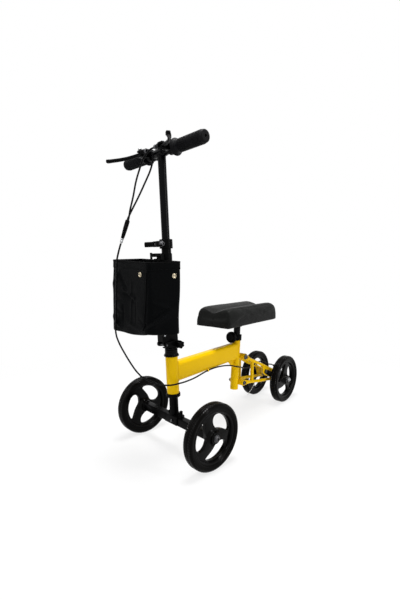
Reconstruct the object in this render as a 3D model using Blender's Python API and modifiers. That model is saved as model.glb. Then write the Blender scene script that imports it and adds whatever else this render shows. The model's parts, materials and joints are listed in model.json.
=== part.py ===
"""Steerable knee walker, built as separate named pieces on the lines they turn or slide on.

Metres, +Z up, +X to the rider's left, +Y to the rear. The origin lies on the floor in the
middle of the walker. The front axle and the handlebar are turned a little, as photographed.
"""

import math

import bmesh
import bpy
from mathutils import Matrix, Vector
from mathutils.geometry import interpolate_bezier

# Overall sizes

WHEELBASE = 0.597
FRONT_TRACK = 0.335
REAR_TRACK = 0.142
STEERING_AXIS_Y = -0.273
HANDLEBAR_HEIGHT = 0.7867
COLUMN_LEAN = math.radians(2.46)
STEER_AT_REST = math.radians(-6.2)

# Clearances

GAP = 0.0003
RUNNING_GAP = 0.0003
TUBE_SIDES = 20
BAR_SIDES = 18
BOLT_SIDES = 10

# Wheels

WHEEL_RADIUS = 0.100
WHEEL_WIDTH = 0.032
TREAD_FLAT = 0.018
TYRE_SEAT_RADIUS = WHEEL_RADIUS - 0.0215
WHEEL_STEPS = 24
RIM_WIDTH = 0.025
WEB_THICKNESS = 0.011
HUB_RADIUS = 0.0185
HUB_WIDTH = 0.036
AXLE_RADIUS = 0.005
AXLE_HEIGHT = WHEEL_RADIUS * math.cos(math.pi / WHEEL_STEPS)
AXLE_IN_FRAME = 0.09914

# Main frame

HEAD_TUBE_RADIUS = 0.019
HEAD_TUBE_BOTTOM = 0.080
HEAD_TUBE_TOP = 0.199
MAIN_TUBE_HEIGHT = 0.063
MAIN_TUBE_WIDTH = 0.034
MAIN_TUBE_ROUNDING = 0.011
MAIN_TUBE_FRONT_Z = 0.254
MAIN_TUBE_REAR_Z = 0.260
POST_RADIUS = 0.0127
SEAT_TUBE_WALL = 0.0023
SEAT_TUBE_RADIUS = POST_RADIUS + SEAT_TUBE_WALL
SEAT_TUBE_TO_REAR_AXLE = 0.268
SEAT_TUBE_BEHIND_STEERING = WHEELBASE - SEAT_TUBE_TO_REAR_AXLE
SEAT_TUBE_REFERENCE_Z = 0.150
SEAT_TUBE_LEAN = math.radians(-3.8)
SEAT_TUBE_BOTTOM = -0.040
SEAT_TUBE_TOP = 0.150
SLEEVE_RADIUS = 0.012
SLEEVE_HALF_LENGTH = 0.024
UPPER_SLEEVE_BEHIND = SEAT_TUBE_BEHIND_STEERING + 0.029
UPPER_SLEEVE_Z = 0.235
LOWER_SLEEVE_BEHIND = SEAT_TUBE_BEHIND_STEERING + 0.022
LOWER_SLEEVE_Z = 0.134

# Rear forks

FORK_PLATE = 0.005
FORK_BAR_RADIUS = 0.006
FORK_REAR_X = 0.0336
DROPOUT_X = 0.0375
STRUT_BEHIND = SEAT_TUBE_BEHIND_STEERING + 0.077
STRUT_SIDE = 0.010
BOLT_RADIUS = 0.004
BRAKE_ANCHOR_BEHIND = WHEELBASE - 0.105
BRAKE_ANCHOR_Z = 0.149

# Steering column, heights from the axle along the column

STEERER_RADIUS = 0.014
STEERER_TOP = HEAD_TUBE_TOP + 0.0340
BEAM_SIDE = 0.026
SADDLE_WALL = 0.0035
FOLD_PIVOT_Y = 0.011
FOLD_PIVOT_HEIGHT = 0.2455
FOLD_STOP_Y = -0.053
FOLD_STOP_HEIGHT = 0.2485
YOKE_PLATE = 0.004

# Mast and handlebar

MAST_RADIUS = 0.014
YOKE_HALF_GAP = MAST_RADIUS + 0.0013
MAST_BOTTOM = 0.256
MAST_TOP = 0.546
STEM_RADIUS = 0.0115
STEM_BOTTOM = 0.380
BAR_RADIUS = 0.011
BAR_HALF_LENGTH = 0.168
GRIP_START = 0.061
GRIP_END = 0.175
GRIP_RADIUS = 0.0165
GRIP_FLANGE_RADIUS = 0.023
CLAMP_HEIGHT = 0.541
CLAMP_LENGTH = 0.026

# Brake controls, from the middle of the handlebar

PERCH_X = 0.048
PERCH_WIDTH = 0.016
LEVER_PIVOT_Y = -0.033
LEVER_THICKNESS = 0.008
LEVER_TIP_X = 0.140
LEVER_TIP_Y = -0.090

# Bag

BAG_WIDTH = 0.181
BAG_DEPTH = 0.091
BAG_HEIGHT = 0.201
BAG_BOTTOM = 0.294
BAG_REAR = -0.030
BAG_WALL = 0.0025

# Seat

POST_BOTTOM = 0.000
POST_TOP = 0.2165
PAD_BOTTOM_Z = 0.372
PAD_LENGTH = 0.333
PAD_WIDTH = 0.136
PAD_THICKNESS = 0.062
PAD_VALLEY_DEPTH = 0.016
PAD_FRONT_BEHIND = SEAT_TUBE_BEHIND_STEERING - 0.144
PLATE_THICKNESS = 0.004
KNOB_RADIUS = 0.0195

# Brake cable

CABLE_RADIUS = 0.0025

COLOURS = {
    "yellow_paint": ((0.80, 0.50, 0.01, 1), 0.30, 0.1),
    "black_paint": ((0.012, 0.012, 0.013, 1), 0.35, 0.2),
    "black_plastic": ((0.015, 0.015, 0.016, 1), 0.45, 0.0),
    "gloss_rim": ((0.010, 0.010, 0.011, 1), 0.22, 0.0),
    "tyre": ((0.014, 0.014, 0.015, 1), 0.40, 0.0),
    "grip_rubber": ((0.018, 0.018, 0.019, 1), 0.70, 0.0),
    "bag_nylon": ((0.012, 0.012, 0.014, 1), 0.85, 0.0),
    "pad_vinyl": ((0.028, 0.028, 0.029, 1), 0.60, 0.0),
    "bright_steel": ((0.55, 0.56, 0.57, 1), 0.30, 1.0),
    "brass": ((0.55, 0.47, 0.30, 1), 0.35, 1.0),
    "dark_steel": ((0.10, 0.10, 0.105, 1), 0.40, 1.0),
}

for old in list(bpy.data.objects):
    bpy.data.objects.remove(old, do_unlink=True)

PARTS = bpy.data.collections.new("knee_walker")
CUTTERS = bpy.data.collections.new("cutters")
bpy.context.scene.collection.children.link(PARTS)
bpy.context.scene.collection.children.link(CUTTERS)

MATERIALS = {}
for label, (colour, roughness, metallic) in COLOURS.items():
    made = bpy.data.materials.new(label)
    made.use_nodes = True
    shader = made.node_tree.nodes["Principled BSDF"]
    shader.inputs["Base Color"].default_value = colour
    shader.inputs["Roughness"].default_value = roughness
    shader.inputs["Metallic"].default_value = metallic
    MATERIALS[label] = made


def bore(radius, sides, clearance=RUNNING_GAP):
    """The radius of a faceted hole whose flats clear a shaft of this radius."""
    return (radius + clearance) / math.cos(math.pi / sides)


def line_empty(name, parent, location, matrix=Matrix.Identity(4)):
    """An empty on a line that pieces stand on or turn about."""
    empty = bpy.data.objects.new(name, None)
    PARTS.objects.link(empty)
    empty.parent = parent
    empty.matrix_local = Matrix.Translation(location) @ matrix
    empty.empty_display_size = 0.03
    return empty


def add(name, mesh, parent, location=(0, 0, 0), rotation=(0, 0, 0), look="black_paint"):
    """A named piece with its own material, placed in its parent's space."""
    piece = bpy.data.objects.new(name, mesh)
    PARTS.objects.link(piece)
    piece.parent = parent
    piece.location = location
    piece.rotation_euler = rotation
    if not mesh.materials:
        mesh.materials.append(MATERIALS[look])
    return piece


def smooth(mesh, angle=35):
    """Round faces shaded smooth, with edges kept sharp."""
    mesh.shade_smooth()
    mesh.set_sharp_from_angle(angle=math.radians(angle))
    return mesh


def baked(piece):
    """The evaluated mesh of a piece, whose object is removed."""
    bpy.context.view_layer.update()
    shape = piece.evaluated_get(bpy.context.evaluated_depsgraph_get())
    mesh = bpy.data.meshes.new_from_object(shape)
    bpy.data.objects.remove(piece, do_unlink=True)
    welded = bmesh.new()
    welded.from_mesh(mesh)
    bmesh.ops.remove_doubles(welded, verts=welded.verts, dist=0.00001)
    welded.to_mesh(mesh)
    welded.free()
    mesh.materials.clear()
    return mesh


def rod(radius, start, end, sides=16, end_radius=None):
    """A cylinder or cone between two points."""
    start = Vector(start)
    end = Vector(end)
    shape = bmesh.new()
    bmesh.ops.create_cone(shape, cap_ends=True, segments=sides, radius1=radius,
                          radius2=radius if end_radius is None else end_radius,
                          depth=(end - start).length)
    turn = (end - start).to_track_quat("Z", "Y").to_matrix().to_4x4()
    shape.transform(Matrix.Translation((start + end) / 2) @ turn)
    mesh = bpy.data.meshes.new("rod")
    shape.to_mesh(mesh)
    shape.free()
    return smooth(mesh)


def block(size, centre=(0, 0, 0), rounding=0.0, steps=2):
    """A box, with all its edges rounded where a rounding is given."""
    shape = bmesh.new()
    bmesh.ops.create_cube(shape, size=1)
    bmesh.ops.scale(shape, vec=size, verts=shape.verts)
    if rounding:
        bmesh.ops.bevel(shape, geom=shape.edges[:], offset=rounding, segments=steps,
                        affect="EDGES", profile=0.5)
    shape.transform(Matrix.Translation(centre))
    mesh = bpy.data.meshes.new("block")
    shape.to_mesh(mesh)
    shape.free()
    return smooth(mesh)


def turned(profile, steps, axis="Z", phase=0.0):
    """A profile of (radius, height) points turned about an axis with a Screw modifier.

    The profile runs down the outer side. A profile that starts and ends on the axis is
    left open there, and any other is closed.
    """
    on_axis = profile[0][0] == 0 and profile[-1][0] == 0
    outline = bpy.data.meshes.new("profile")
    edges = [(n, n + 1) for n in range(len(profile) - 1)]
    if not on_axis:
        edges.append((len(profile) - 1, 0))
    outline.from_pydata([(r, 0, z) for r, z in profile], edges, [])
    piece = bpy.data.objects.new("profile", outline)
    CUTTERS.objects.link(piece)
    screw = piece.modifiers.new("turn", "SCREW")
    screw.steps = steps
    screw.render_steps = steps
    screw.use_merge_vertices = True
    screw.merge_threshold = 0.00001
    mesh = baked(piece)
    mesh.transform(Matrix.Rotation(phase, 4, "Z"))
    if axis == "X":
        mesh.transform(Matrix.Rotation(math.pi / 2, 4, "Y"))
    if axis == "Y":
        mesh.transform(Matrix.Rotation(-math.pi / 2, 4, "X"))
    return smooth(mesh)


def sheet(outline, thickness, plane="YZ", offset=0.0, rounding=0.0):
    """A flat outline made solid, as a filled 2D curve with an extrude of half its thickness."""
    drawing = bpy.data.curves.new("outline", "CURVE")
    drawing.dimensions = "2D"
    drawing.fill_mode = "BOTH"
    drawing.extrude = thickness / 2 - rounding
    drawing.bevel_depth = rounding
    drawing.bevel_resolution = 0
    drawing.offset = -rounding
    spline = drawing.splines.new("POLY")
    spline.points.add(len(outline) - 1)
    for point, (u, v) in zip(spline.points, outline):
        point.co = (u, v, 0, 1)
    spline.use_cyclic_u = True
    piece = bpy.data.objects.new("outline", drawing)
    CUTTERS.objects.link(piece)
    mesh = baked(piece)
    bpy.data.curves.remove(drawing)
    if plane == "YZ":
        mesh.transform(Matrix(((0, 0, 1, 0), (1, 0, 0, 0), (0, 1, 0, 0), (0, 0, 0, 1))))
        mesh.transform(Matrix.Translation((offset, 0, 0)))
    if plane == "XZ":
        mesh.transform(Matrix(((1, 0, 0, 0), (0, 0, -1, 0), (0, 1, 0, 0), (0, 0, 0, 1))))
        mesh.transform(Matrix.Translation((0, offset, 0)))
    if plane == "XY":
        mesh.transform(Matrix.Translation((0, 0, offset)))
    return smooth(mesh)


def tube(points, radius, detail=2, cyclic=False):
    """A round bar or cable along points, as a curve with a bevel depth and filled caps."""
    line = bpy.data.curves.new("line", "CURVE")
    line.dimensions = "3D"
    line.bevel_depth = radius
    line.bevel_resolution = detail
    line.use_fill_caps = True
    spline = line.splines.new("POLY")
    spline.points.add(len(points) - 1)
    for point, at in zip(spline.points, points):
        point.co = (*at, 1)
    spline.use_cyclic_u = cyclic
    piece = bpy.data.objects.new("line", line)
    CUTTERS.objects.link(piece)
    mesh = baked(piece)
    bpy.data.curves.remove(line)
    return smooth(mesh)


def smooth_route(points, spacing, closed=False):
    """Even points along a smooth curve through the route's own points."""
    knots = [Vector(p) for p in points]
    count = len(knots)
    fine = []
    last = count if closed else count - 1
    for n in range(last):
        a, b = knots[n], knots[(n + 1) % count]
        before = knots[n - 1] if n or closed else a
        after = knots[(n + 2) % count] if closed or n + 2 < count else b
        reach = (b - a).length / 3
        leave = (b - before).normalized() * reach
        arrive = (after - a).normalized() * reach
        fine += interpolate_bezier(a, a + leave, b - arrive, b, 24)[:-1]
    if not closed:
        fine.append(knots[-1])
    else:
        fine.append(fine[0])
    total = sum((q - p).length for p, q in zip(fine, fine[1:]))
    pieces = max(3, round(total / spacing))
    even, done, target = [fine[0]], 0.0, total / pieces
    for p, q in zip(fine, fine[1:]):
        step = (q - p).length
        while step and done + step >= target - 1e-9 and len(even) < pieces:
            even.append(p + (q - p) * ((target - done) / step))
            target += total / pieces
        done += step
    if not closed:
        even.append(fine[-1])
    return even


def cable(name, parent, start, leave, knots, arrive, end, spacing):
    """A brake cable on a smooth route, with ends that run straight out of what they meet."""
    lead = 2.4 * CABLE_RADIUS
    route = smooth_route([start + leave * lead, *knots, end - arrive * lead], spacing)
    return add(name, tube([start, *route, end], CABLE_RADIUS), parent, look="black_plastic")


def capsule(start, end, start_radius, end_radius, turns=5):
    """The outline of a flat link with a round end about each of two points."""
    a, b = Vector(start), Vector(end)
    way = math.atan2(b.y - a.y, b.x - a.x)
    lean = math.asin((start_radius - end_radius) / (b - a).length)
    outline = []
    for n in range(turns + 1):
        t = way - math.pi / 2 + lean + (math.pi - 2 * lean) * n / turns
        outline.append((b.x + end_radius * math.cos(t), b.y + end_radius * math.sin(t)))
    for n in range(turns + 1):
        t = way + math.pi / 2 - lean + (math.pi + 2 * lean) * n / turns
        outline.append((a.x + start_radius * math.cos(t), a.y + start_radius * math.sin(t)))
    return outline


def ribbon(centres, half_widths):
    """The outline of a blade along a centre line, with a half width at each point."""
    left, right = [], []
    for n, (x, y) in enumerate(centres):
        ahead = Vector(centres[min(n + 1, len(centres) - 1)])
        behind = Vector(centres[max(n - 1, 0)])
        along = (ahead - behind).normalized()
        w = half_widths[n]
        left.append((x - along.y * w, y + along.x * w))
        right.append((x + along.y * w, y - along.x * w))
    return right + left[::-1]


def use(target, kind, mesh, parent=None, location=(0, 0, 0), rotation=(0, 0, 0)):
    """Joins a shape to a piece, or cuts it away, with a Boolean modifier."""
    tool = bpy.data.objects.new(f"{target.name}_{kind.lower()}", mesh)
    CUTTERS.objects.link(tool)
    tool.parent = parent or target
    tool.location = location
    tool.rotation_euler = rotation
    tool.hide_render = True
    tool.display_type = "WIRE"
    step = target.modifiers.new(kind.lower(), "BOOLEAN")
    step.operation = kind
    step.solver = "EXACT"
    step.object = tool
    return tool


def fuse(target, mesh, parent=None, **placed):
    return use(target, "UNION", mesh, parent, **placed)


def cut(target, mesh, parent=None, **placed):
    return use(target, "DIFFERENCE", mesh, parent, **placed)


def along_x(radius, start, end, y, z, sides=16):
    """A cylinder across the walker."""
    return rod(radius, (start, y, z), (end, y, z), sides)


# Lines that the pieces stand on

root = line_empty("walker", None, (0, 0, 0))
lean = Matrix.Rotation(COLUMN_LEAN, 4, "X")
steer = Matrix.Rotation(STEER_AT_REST, 4, "Z")
ground = line_empty("frame_line", root, (0, STEERING_AXIS_Y, AXLE_HEIGHT - AXLE_IN_FRAME))
head = line_empty("head_line", root, (0, STEERING_AXIS_Y, AXLE_HEIGHT), lean)
column = line_empty("column_line", root, (0, STEERING_AXIS_Y, AXLE_HEIGHT), lean @ steer)
front_axle = line_empty("front_axle_line", root, (0, STEERING_AXIS_Y, AXLE_HEIGHT), steer)
seat = line_empty("seat_line", ground, (0, SEAT_TUBE_BEHIND_STEERING, SEAT_TUBE_REFERENCE_Z),
                  Matrix.Rotation(SEAT_TUBE_LEAN, 4, "X"))
rear_axle_line = line_empty("rear_axle_line", ground, (0, WHEELBASE, AXLE_IN_FRAME))
bpy.context.view_layer.update()

# Main frame: head tube, main tube, seat tube and the two cross sleeves, welded as one

head_tube = rod(HEAD_TUBE_RADIUS, (0, 0, HEAD_TUBE_BOTTOM), (0, 0, HEAD_TUBE_TOP), TUBE_SIDES)
frame = add("main_frame", head_tube, head, look="yellow_paint")
main_start = Vector((0, 0.004, MAIN_TUBE_FRONT_Z))
main_end = Vector((0, SEAT_TUBE_BEHIND_STEERING - 0.002, MAIN_TUBE_REAR_Z))
main_length = (main_end - main_start).length
main_tilt = math.atan2(main_end.z - main_start.z, main_end.y - main_start.y)
profile_tube = block((MAIN_TUBE_WIDTH, main_length, MAIN_TUBE_HEIGHT))
tube_edges = bmesh.new()
tube_edges.from_mesh(profile_tube)
long_edges = [e for e in tube_edges.edges
              if abs((e.verts[0].co - e.verts[1].co).y) > main_length / 2]
bmesh.ops.bevel(tube_edges, geom=long_edges, offset=MAIN_TUBE_ROUNDING, segments=4,
                affect="EDGES", profile=0.5)
tube_edges.to_mesh(profile_tube)
tube_edges.free()
smooth(profile_tube)
fuse(frame, profile_tube, ground, location=(main_start + main_end) / 2, rotation=(main_tilt, 0, 0))
fuse(frame, rod(SEAT_TUBE_RADIUS, (0, 0, SEAT_TUBE_BOTTOM), (0, 0, SEAT_TUBE_TOP), TUBE_SIDES), seat)
fuse(frame, along_x(SLEEVE_RADIUS, -SLEEVE_HALF_LENGTH, SLEEVE_HALF_LENGTH,
                    UPPER_SLEEVE_BEHIND, UPPER_SLEEVE_Z), ground)
fuse(frame, along_x(SLEEVE_RADIUS, -SLEEVE_HALF_LENGTH, SLEEVE_HALF_LENGTH,
                    LOWER_SLEEVE_BEHIND, LOWER_SLEEVE_Z), ground)
main_underside = MAIN_TUBE_REAR_Z - MAIN_TUBE_HEIGHT / 2
gusset = [(SEAT_TUBE_BEHIND_STEERING - 0.044, main_underside + 0.004),
          (SEAT_TUBE_BEHIND_STEERING - 0.044, main_underside - 0.001),
          (SEAT_TUBE_BEHIND_STEERING - 0.016, main_underside - 0.030),
          (SEAT_TUBE_BEHIND_STEERING - 0.006, main_underside - 0.030),
          (SEAT_TUBE_BEHIND_STEERING - 0.006, main_underside + 0.004)]
fuse(frame, sheet(gusset, 0.006), ground)
head_bore = bore(STEERER_RADIUS, TUBE_SIDES)
post_bore = bore(POST_RADIUS, TUBE_SIDES)
cut(frame, rod(head_bore, (0, 0, HEAD_TUBE_BOTTOM - 0.01), (0, 0, HEAD_TUBE_TOP + 0.01), TUBE_SIDES), head)
cut(frame, rod(post_bore, (0, 0, SEAT_TUBE_BOTTOM - 0.01), (0, 0, SEAT_TUBE_TOP + 0.01), TUBE_SIDES), seat)
bolt_bore = bore(BOLT_RADIUS, BOLT_SIDES)
for behind, height in ((UPPER_SLEEVE_BEHIND, UPPER_SLEEVE_Z), (LOWER_SLEEVE_BEHIND, LOWER_SLEEVE_Z)):
    cut(frame, along_x(bolt_bore, -0.04, 0.04, behind, height, BOLT_SIDES), ground)

cup_outer = HEAD_TUBE_RADIUS + 0.003
add("headset_lower_cup",
    turned([(cup_outer - 0.001, HEAD_TUBE_BOTTOM - GAP), (cup_outer, HEAD_TUBE_BOTTOM - 0.002),
            (cup_outer, HEAD_TUBE_BOTTOM - 0.009), (cup_outer - 0.003, HEAD_TUBE_BOTTOM - 0.012),
            (head_bore, HEAD_TUBE_BOTTOM - 0.012), (head_bore, HEAD_TUBE_BOTTOM - GAP)], TUBE_SIDES),
    head)

# Seat collar: a split ring on top of the seat tube, with a boss for the clamp knob

collar_bottom = SEAT_TUBE_TOP + GAP
collar_top = collar_bottom + 0.022
collar_outer = SEAT_TUBE_RADIUS + 0.0035
knob_height = SEAT_TUBE_TOP + 0.0135
boss_end = -collar_outer - 0.008
collar = add("seat_collar",
             turned([(collar_outer - 0.001, collar_top), (collar_outer, collar_top - 0.001),
                     (collar_outer, collar_bottom), (post_bore, collar_bottom),
                     (post_bore, collar_top)], TUBE_SIDES),
             seat, look="black_plastic")
fuse(collar, rod(0.0075, (0, boss_end, knob_height), (0, -POST_RADIUS - 0.0025, knob_height), BOLT_SIDES))
add("seat_knob",
    turned([(0, 0.0), (KNOB_RADIUS - 0.004, 0.0), (KNOB_RADIUS, -0.004), (KNOB_RADIUS, -0.012),
            (KNOB_RADIUS - 0.003, -0.015), (0.009, -0.0165), (0, -0.0165)], TUBE_SIDES, "Y"),
    seat, location=(0, boss_end - GAP, knob_height), look="black_plastic")

# Rear forks: two bent bars and a strut with flat eyes in front and a dropout plate behind

eye_x = SLEEVE_HALF_LENGTH + GAP + FORK_PLATE / 2
fork_reach = WHEELBASE - UPPER_SLEEVE_BEHIND
upper_end_z = AXLE_IN_FRAME + 0.024
lower_end_z = AXLE_IN_FRAME - 0.001


def bar_height(behind, upper):
    """The height of the upper or lower fork bar at a distance behind the steering axis."""
    if upper:
        share = (behind - UPPER_SLEEVE_BEHIND) / (WHEELBASE - UPPER_SLEEVE_BEHIND)
        return UPPER_SLEEVE_Z - 0.001 + share * (upper_end_z - UPPER_SLEEVE_Z)
    share = (behind - LOWER_SLEEVE_BEHIND) / (WHEELBASE - LOWER_SLEEVE_BEHIND)
    return LOWER_SLEEVE_Z + share * (lower_end_z - 0.003 - LOWER_SLEEVE_Z)


def fork_bar(side, upper, start_behind, end_behind):
    """One round bar that runs straight from its flattened eye and then splays to the dropout."""
    bend = STRUT_BEHIND - 0.015
    route = []
    for behind, out in ((start_behind, eye_x), (bend, eye_x + 0.0015), (bend + 0.060, FORK_REAR_X),
                        (end_behind - 0.05, FORK_REAR_X), (end_behind, FORK_REAR_X)):
        route.append((side * out, behind, bar_height(behind, upper)))
    return tube(smooth_route(route, 0.042), FORK_BAR_RADIUS, 2)


def fork(name, side):
    """One side of the rear frame, as one welded piece."""
    upper_eye = (UPPER_SLEEVE_BEHIND, UPPER_SLEEVE_Z)
    lower_eye = (LOWER_SLEEVE_BEHIND, LOWER_SLEEVE_Z)
    tab = 0.030
    piece = add(name, fork_bar(side, True, UPPER_SLEEVE_BEHIND + 0.015, WHEELBASE - 0.012),
                ground, look="yellow_paint")
    fuse(piece, fork_bar(side, False, LOWER_SLEEVE_BEHIND + 0.014, WHEELBASE - 0.016))
    for eye, upper in ((upper_eye, True), (lower_eye, False)):
        to = (eye[0] + tab, bar_height(eye[0] + tab, upper))
        fuse(piece, sheet(capsule(eye, to, 0.0125 if upper else 0.0116, 0.0064, 6), FORK_PLATE,
                          offset=side * eye_x))
    strut_x = eye_x + 0.003
    strut_top = bar_height(STRUT_BEHIND, True)
    strut_bottom = bar_height(STRUT_BEHIND, False)
    fuse(piece, block((STRUT_SIDE, STRUT_SIDE, strut_top - strut_bottom),
                      (side * strut_x, STRUT_BEHIND, (strut_top + strut_bottom) / 2)))
    axle = (WHEELBASE, AXLE_IN_FRAME)
    plate = [(BRAKE_ANCHOR_BEHIND - 0.016, bar_height(BRAKE_ANCHOR_BEHIND - 0.016, True) - 0.002),
             (BRAKE_ANCHOR_BEHIND - 0.014, BRAKE_ANCHOR_Z - 0.002),
             (BRAKE_ANCHOR_BEHIND - 0.006, BRAKE_ANCHOR_Z - 0.013),
             (BRAKE_ANCHOR_BEHIND + 0.014, BRAKE_ANCHOR_Z - 0.022)]
    for n in range(7):
        t = math.radians(-110 + 30 * n)
        plate.append((axle[0] + 0.014 * math.cos(t), axle[1] + 0.014 * math.sin(t)))
    plate.append((WHEELBASE - 0.006, bar_height(WHEELBASE - 0.006, True)))
    fuse(piece, sheet(plate, FORK_PLATE, offset=side * DROPOUT_X))
    boss_end_x = REAR_TRACK / 2 - HUB_WIDTH / 2 - GAP
    fuse(piece, along_x(0.009, side * (DROPOUT_X - 0.001), side * boss_end_x, WHEELBASE, AXLE_IN_FRAME))
    for y, z, radius in ((*upper_eye, bolt_bore), (*lower_eye, bolt_bore),
                         (BRAKE_ANCHOR_BEHIND, BRAKE_ANCHOR_Z, bolt_bore),
                         (WHEELBASE, AXLE_IN_FRAME, bore(AXLE_RADIUS, BOLT_SIDES))):
        cut(piece, along_x(radius, side * 0.015, side * 0.060, y, z, BOLT_SIDES))
    return piece


fork("rear_fork_left", 1)
fork("rear_fork_right", -1)


def through_bolt(name, behind, height, head_radius, parent=ground):
    """A long bolt across the frame with a domed head on the left and a nut on the right."""
    face = eye_x + FORK_PLATE / 2 + GAP
    piece = add(name, turned([(0, face + 0.0068), (head_radius * 0.55, face + 0.0068),
                              (head_radius, face + 0.0035), (head_radius, face),
                              (BOLT_RADIUS, face), (BOLT_RADIUS, -face - 0.011), (0, -face - 0.011)],
                             BOLT_SIDES, "X"), parent, location=(0, behind, height))
    nut = along_x(head_radius * 0.85, -face - 0.008, -face, 0, 0, 6)
    fuse(piece, nut)
    return piece


through_bolt("fork_bolt_upper", UPPER_SLEEVE_BEHIND, UPPER_SLEEVE_Z, 0.0105)
through_bolt("fork_bolt_lower", LOWER_SLEEVE_BEHIND, LOWER_SLEEVE_Z, 0.0085)

# Rear axle with its nut

hub_face = REAR_TRACK / 2 + HUB_WIDTH / 2 + GAP
rear_bolt = add("rear_axle",
                rod(AXLE_RADIUS, (-hub_face - 0.004, 0, 0), (hub_face + 0.012, 0, 0), BOLT_SIDES),
                rear_axle_line, look="bright_steel")
fuse(rear_bolt, along_x(0.0090, -hub_face - 0.0075, -hub_face, 0, 0, 6))
nut = add("rear_axle_nut", along_x(0.0090, hub_face, hub_face + 0.0075, 0, 0, 6), rear_axle_line,
          look="bright_steel")
cut(nut, along_x(bore(AXLE_RADIUS, BOLT_SIDES, 0.0002), hub_face - 0.01, hub_face + 0.02, 0, 0, BOLT_SIDES))

# Drum brake on the left rear wheel

plate_start = DROPOUT_X + FORK_PLATE / 2 + GAP
plate_end = plate_start + 0.003
plate_middle = (plate_start + plate_end) / 2
drum_outer = 0.033
anchor = (BRAKE_ANCHOR_BEHIND - WHEELBASE, BRAKE_ANCHOR_Z - AXLE_IN_FRAME)
arm_pivot = (-0.017, 0.044)
backing = add("brake_plate",
              rod(0.037, (plate_start, 0, 0), (plate_end, 0, 0), TUBE_SIDES), rear_axle_line)
fuse(backing, sheet(capsule((0, 0), anchor, 0.014, 0.0085), 0.003, offset=plate_middle))
fuse(backing, sheet(capsule((0, 0), arm_pivot, 0.014, 0.0075), 0.003, offset=plate_middle))
fuse(backing, along_x(0.003, plate_middle, plate_end + 0.0055, *arm_pivot, 12))
cut(backing, along_x(bore(0.009, 16), 0.03, 0.06, 0, 0, 16))
cut(backing, along_x(bolt_bore, 0.03, 0.06, *anchor, BOLT_SIDES))
anchor_face = plate_end + GAP
add("brake_anchor_bolt",
    turned([(0, anchor_face + 0.005), (0.0055, anchor_face + 0.005), (0.008, anchor_face + 0.003),
            (0.008, anchor_face), (BOLT_RADIUS, anchor_face),
            (BOLT_RADIUS, DROPOUT_X - FORK_PLATE / 2 - 0.004),
            (0, DROPOUT_X - FORK_PLATE / 2 - 0.004)], BOLT_SIDES, "X"),
    rear_axle_line, location=(0, *anchor))
arm_line = line_empty("brake_arm_line", rear_axle_line, (0, *arm_pivot))
arm_x = plate_end + GAP + 0.00125
arm_end = (-0.0285, 0.0195)
arm = add("brake_arm", sheet(capsule((0, 0), arm_end, 0.006, 0.0045), 0.0025, offset=arm_x), arm_line,
          look="dark_steel")
cut(arm, along_x(bore(0.003, 12), 0.03, 0.06, 0, 0, 12))
fuse(arm, along_x(0.003, arm_x, arm_x + 0.005, *arm_end, 12))

# Wheels: one tyre and one rim shape, used four times

half = WHEEL_WIDTH / 2
tread = TREAD_FLAT / 2
seat_half = RIM_WIDTH / 2 + 0.0005
tyre_mesh = turned([(TYRE_SEAT_RADIUS, seat_half), (WHEEL_RADIUS - 0.011, half),
                    (WHEEL_RADIUS - 0.0035, half - 0.002), (WHEEL_RADIUS, tread),
                    (WHEEL_RADIUS, -tread), (WHEEL_RADIUS - 0.0035, -half + 0.002),
                    (WHEEL_RADIUS - 0.011, -half), (TYRE_SEAT_RADIUS, -seat_half)],
                   WHEEL_STEPS, "X", math.pi / WHEEL_STEPS)
tyre_mesh.materials.append(MATERIALS["tyre"])

rim_outer = TYRE_SEAT_RADIUS - GAP
rim_half = RIM_WIDTH / 2
web = WEB_THICKNESS / 2
hub_half = HUB_WIDTH / 2
hub_bore = bore(AXLE_RADIUS, WHEEL_STEPS)
rim_blank = turned([(rim_outer, rim_half), (rim_outer, -rim_half), (rim_outer - 0.0075, -rim_half),
                    (rim_outer - 0.0095, -web), (HUB_RADIUS + 0.005, -web), (HUB_RADIUS, -hub_half),
                    (hub_bore, -hub_half), (hub_bore, hub_half), (HUB_RADIUS, hub_half),
                    (HUB_RADIUS + 0.005, web), (rim_outer - 0.0095, web), (rim_outer - 0.0075, rim_half)],
                   WHEEL_STEPS, "X", math.pi / WHEEL_STEPS)


def spoke_opening(first_angle):
    """One comma-shaped opening: a round head near the hub that sweeps out to a tail at the rim."""
    outer = rim_outer - 0.0122
    inner = HUB_RADIUS + 0.008
    span = outer - inner
    shape = [(outer, 70), (outer, 54), (outer, 37), (outer, 20), (outer - 0.0005, 8),
             (outer - 0.005, 1), (outer - 0.011, 3), (inner + span * 0.48, 13),
             (inner + span * 0.25, 27), (inner + span * 0.06, 43), (inner, 60),
             (inner + span * 0.12, 76), (inner + span * 0.36, 87), (inner + span * 0.66, 87),
             (inner + span * 0.90, 80)]
    corners = []
    for radius, degrees in shape:
        t = math.radians(degrees + first_angle)
        corners.append((radius * math.cos(t), radius * math.sin(t), 0))
    return [(p.x, p.y) for p in smooth_route(corners, 0.0115, closed=True)]


rim_maker = add("rim_blank", rim_blank, root, look="gloss_rim")
for turn in range(3):
    cut(rim_maker, sheet(spoke_opening(2 + 120 * turn), 0.05))
bpy.context.view_layer.update()
rim_mesh = bpy.data.meshes.new_from_object(
    rim_maker.evaluated_get(bpy.context.evaluated_depsgraph_get()))
for tool in [c for c in CUTTERS.objects if c.parent == rim_maker]:
    bpy.data.objects.remove(tool, do_unlink=True)
bpy.data.objects.remove(rim_maker, do_unlink=True)
smooth(rim_mesh)


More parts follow.
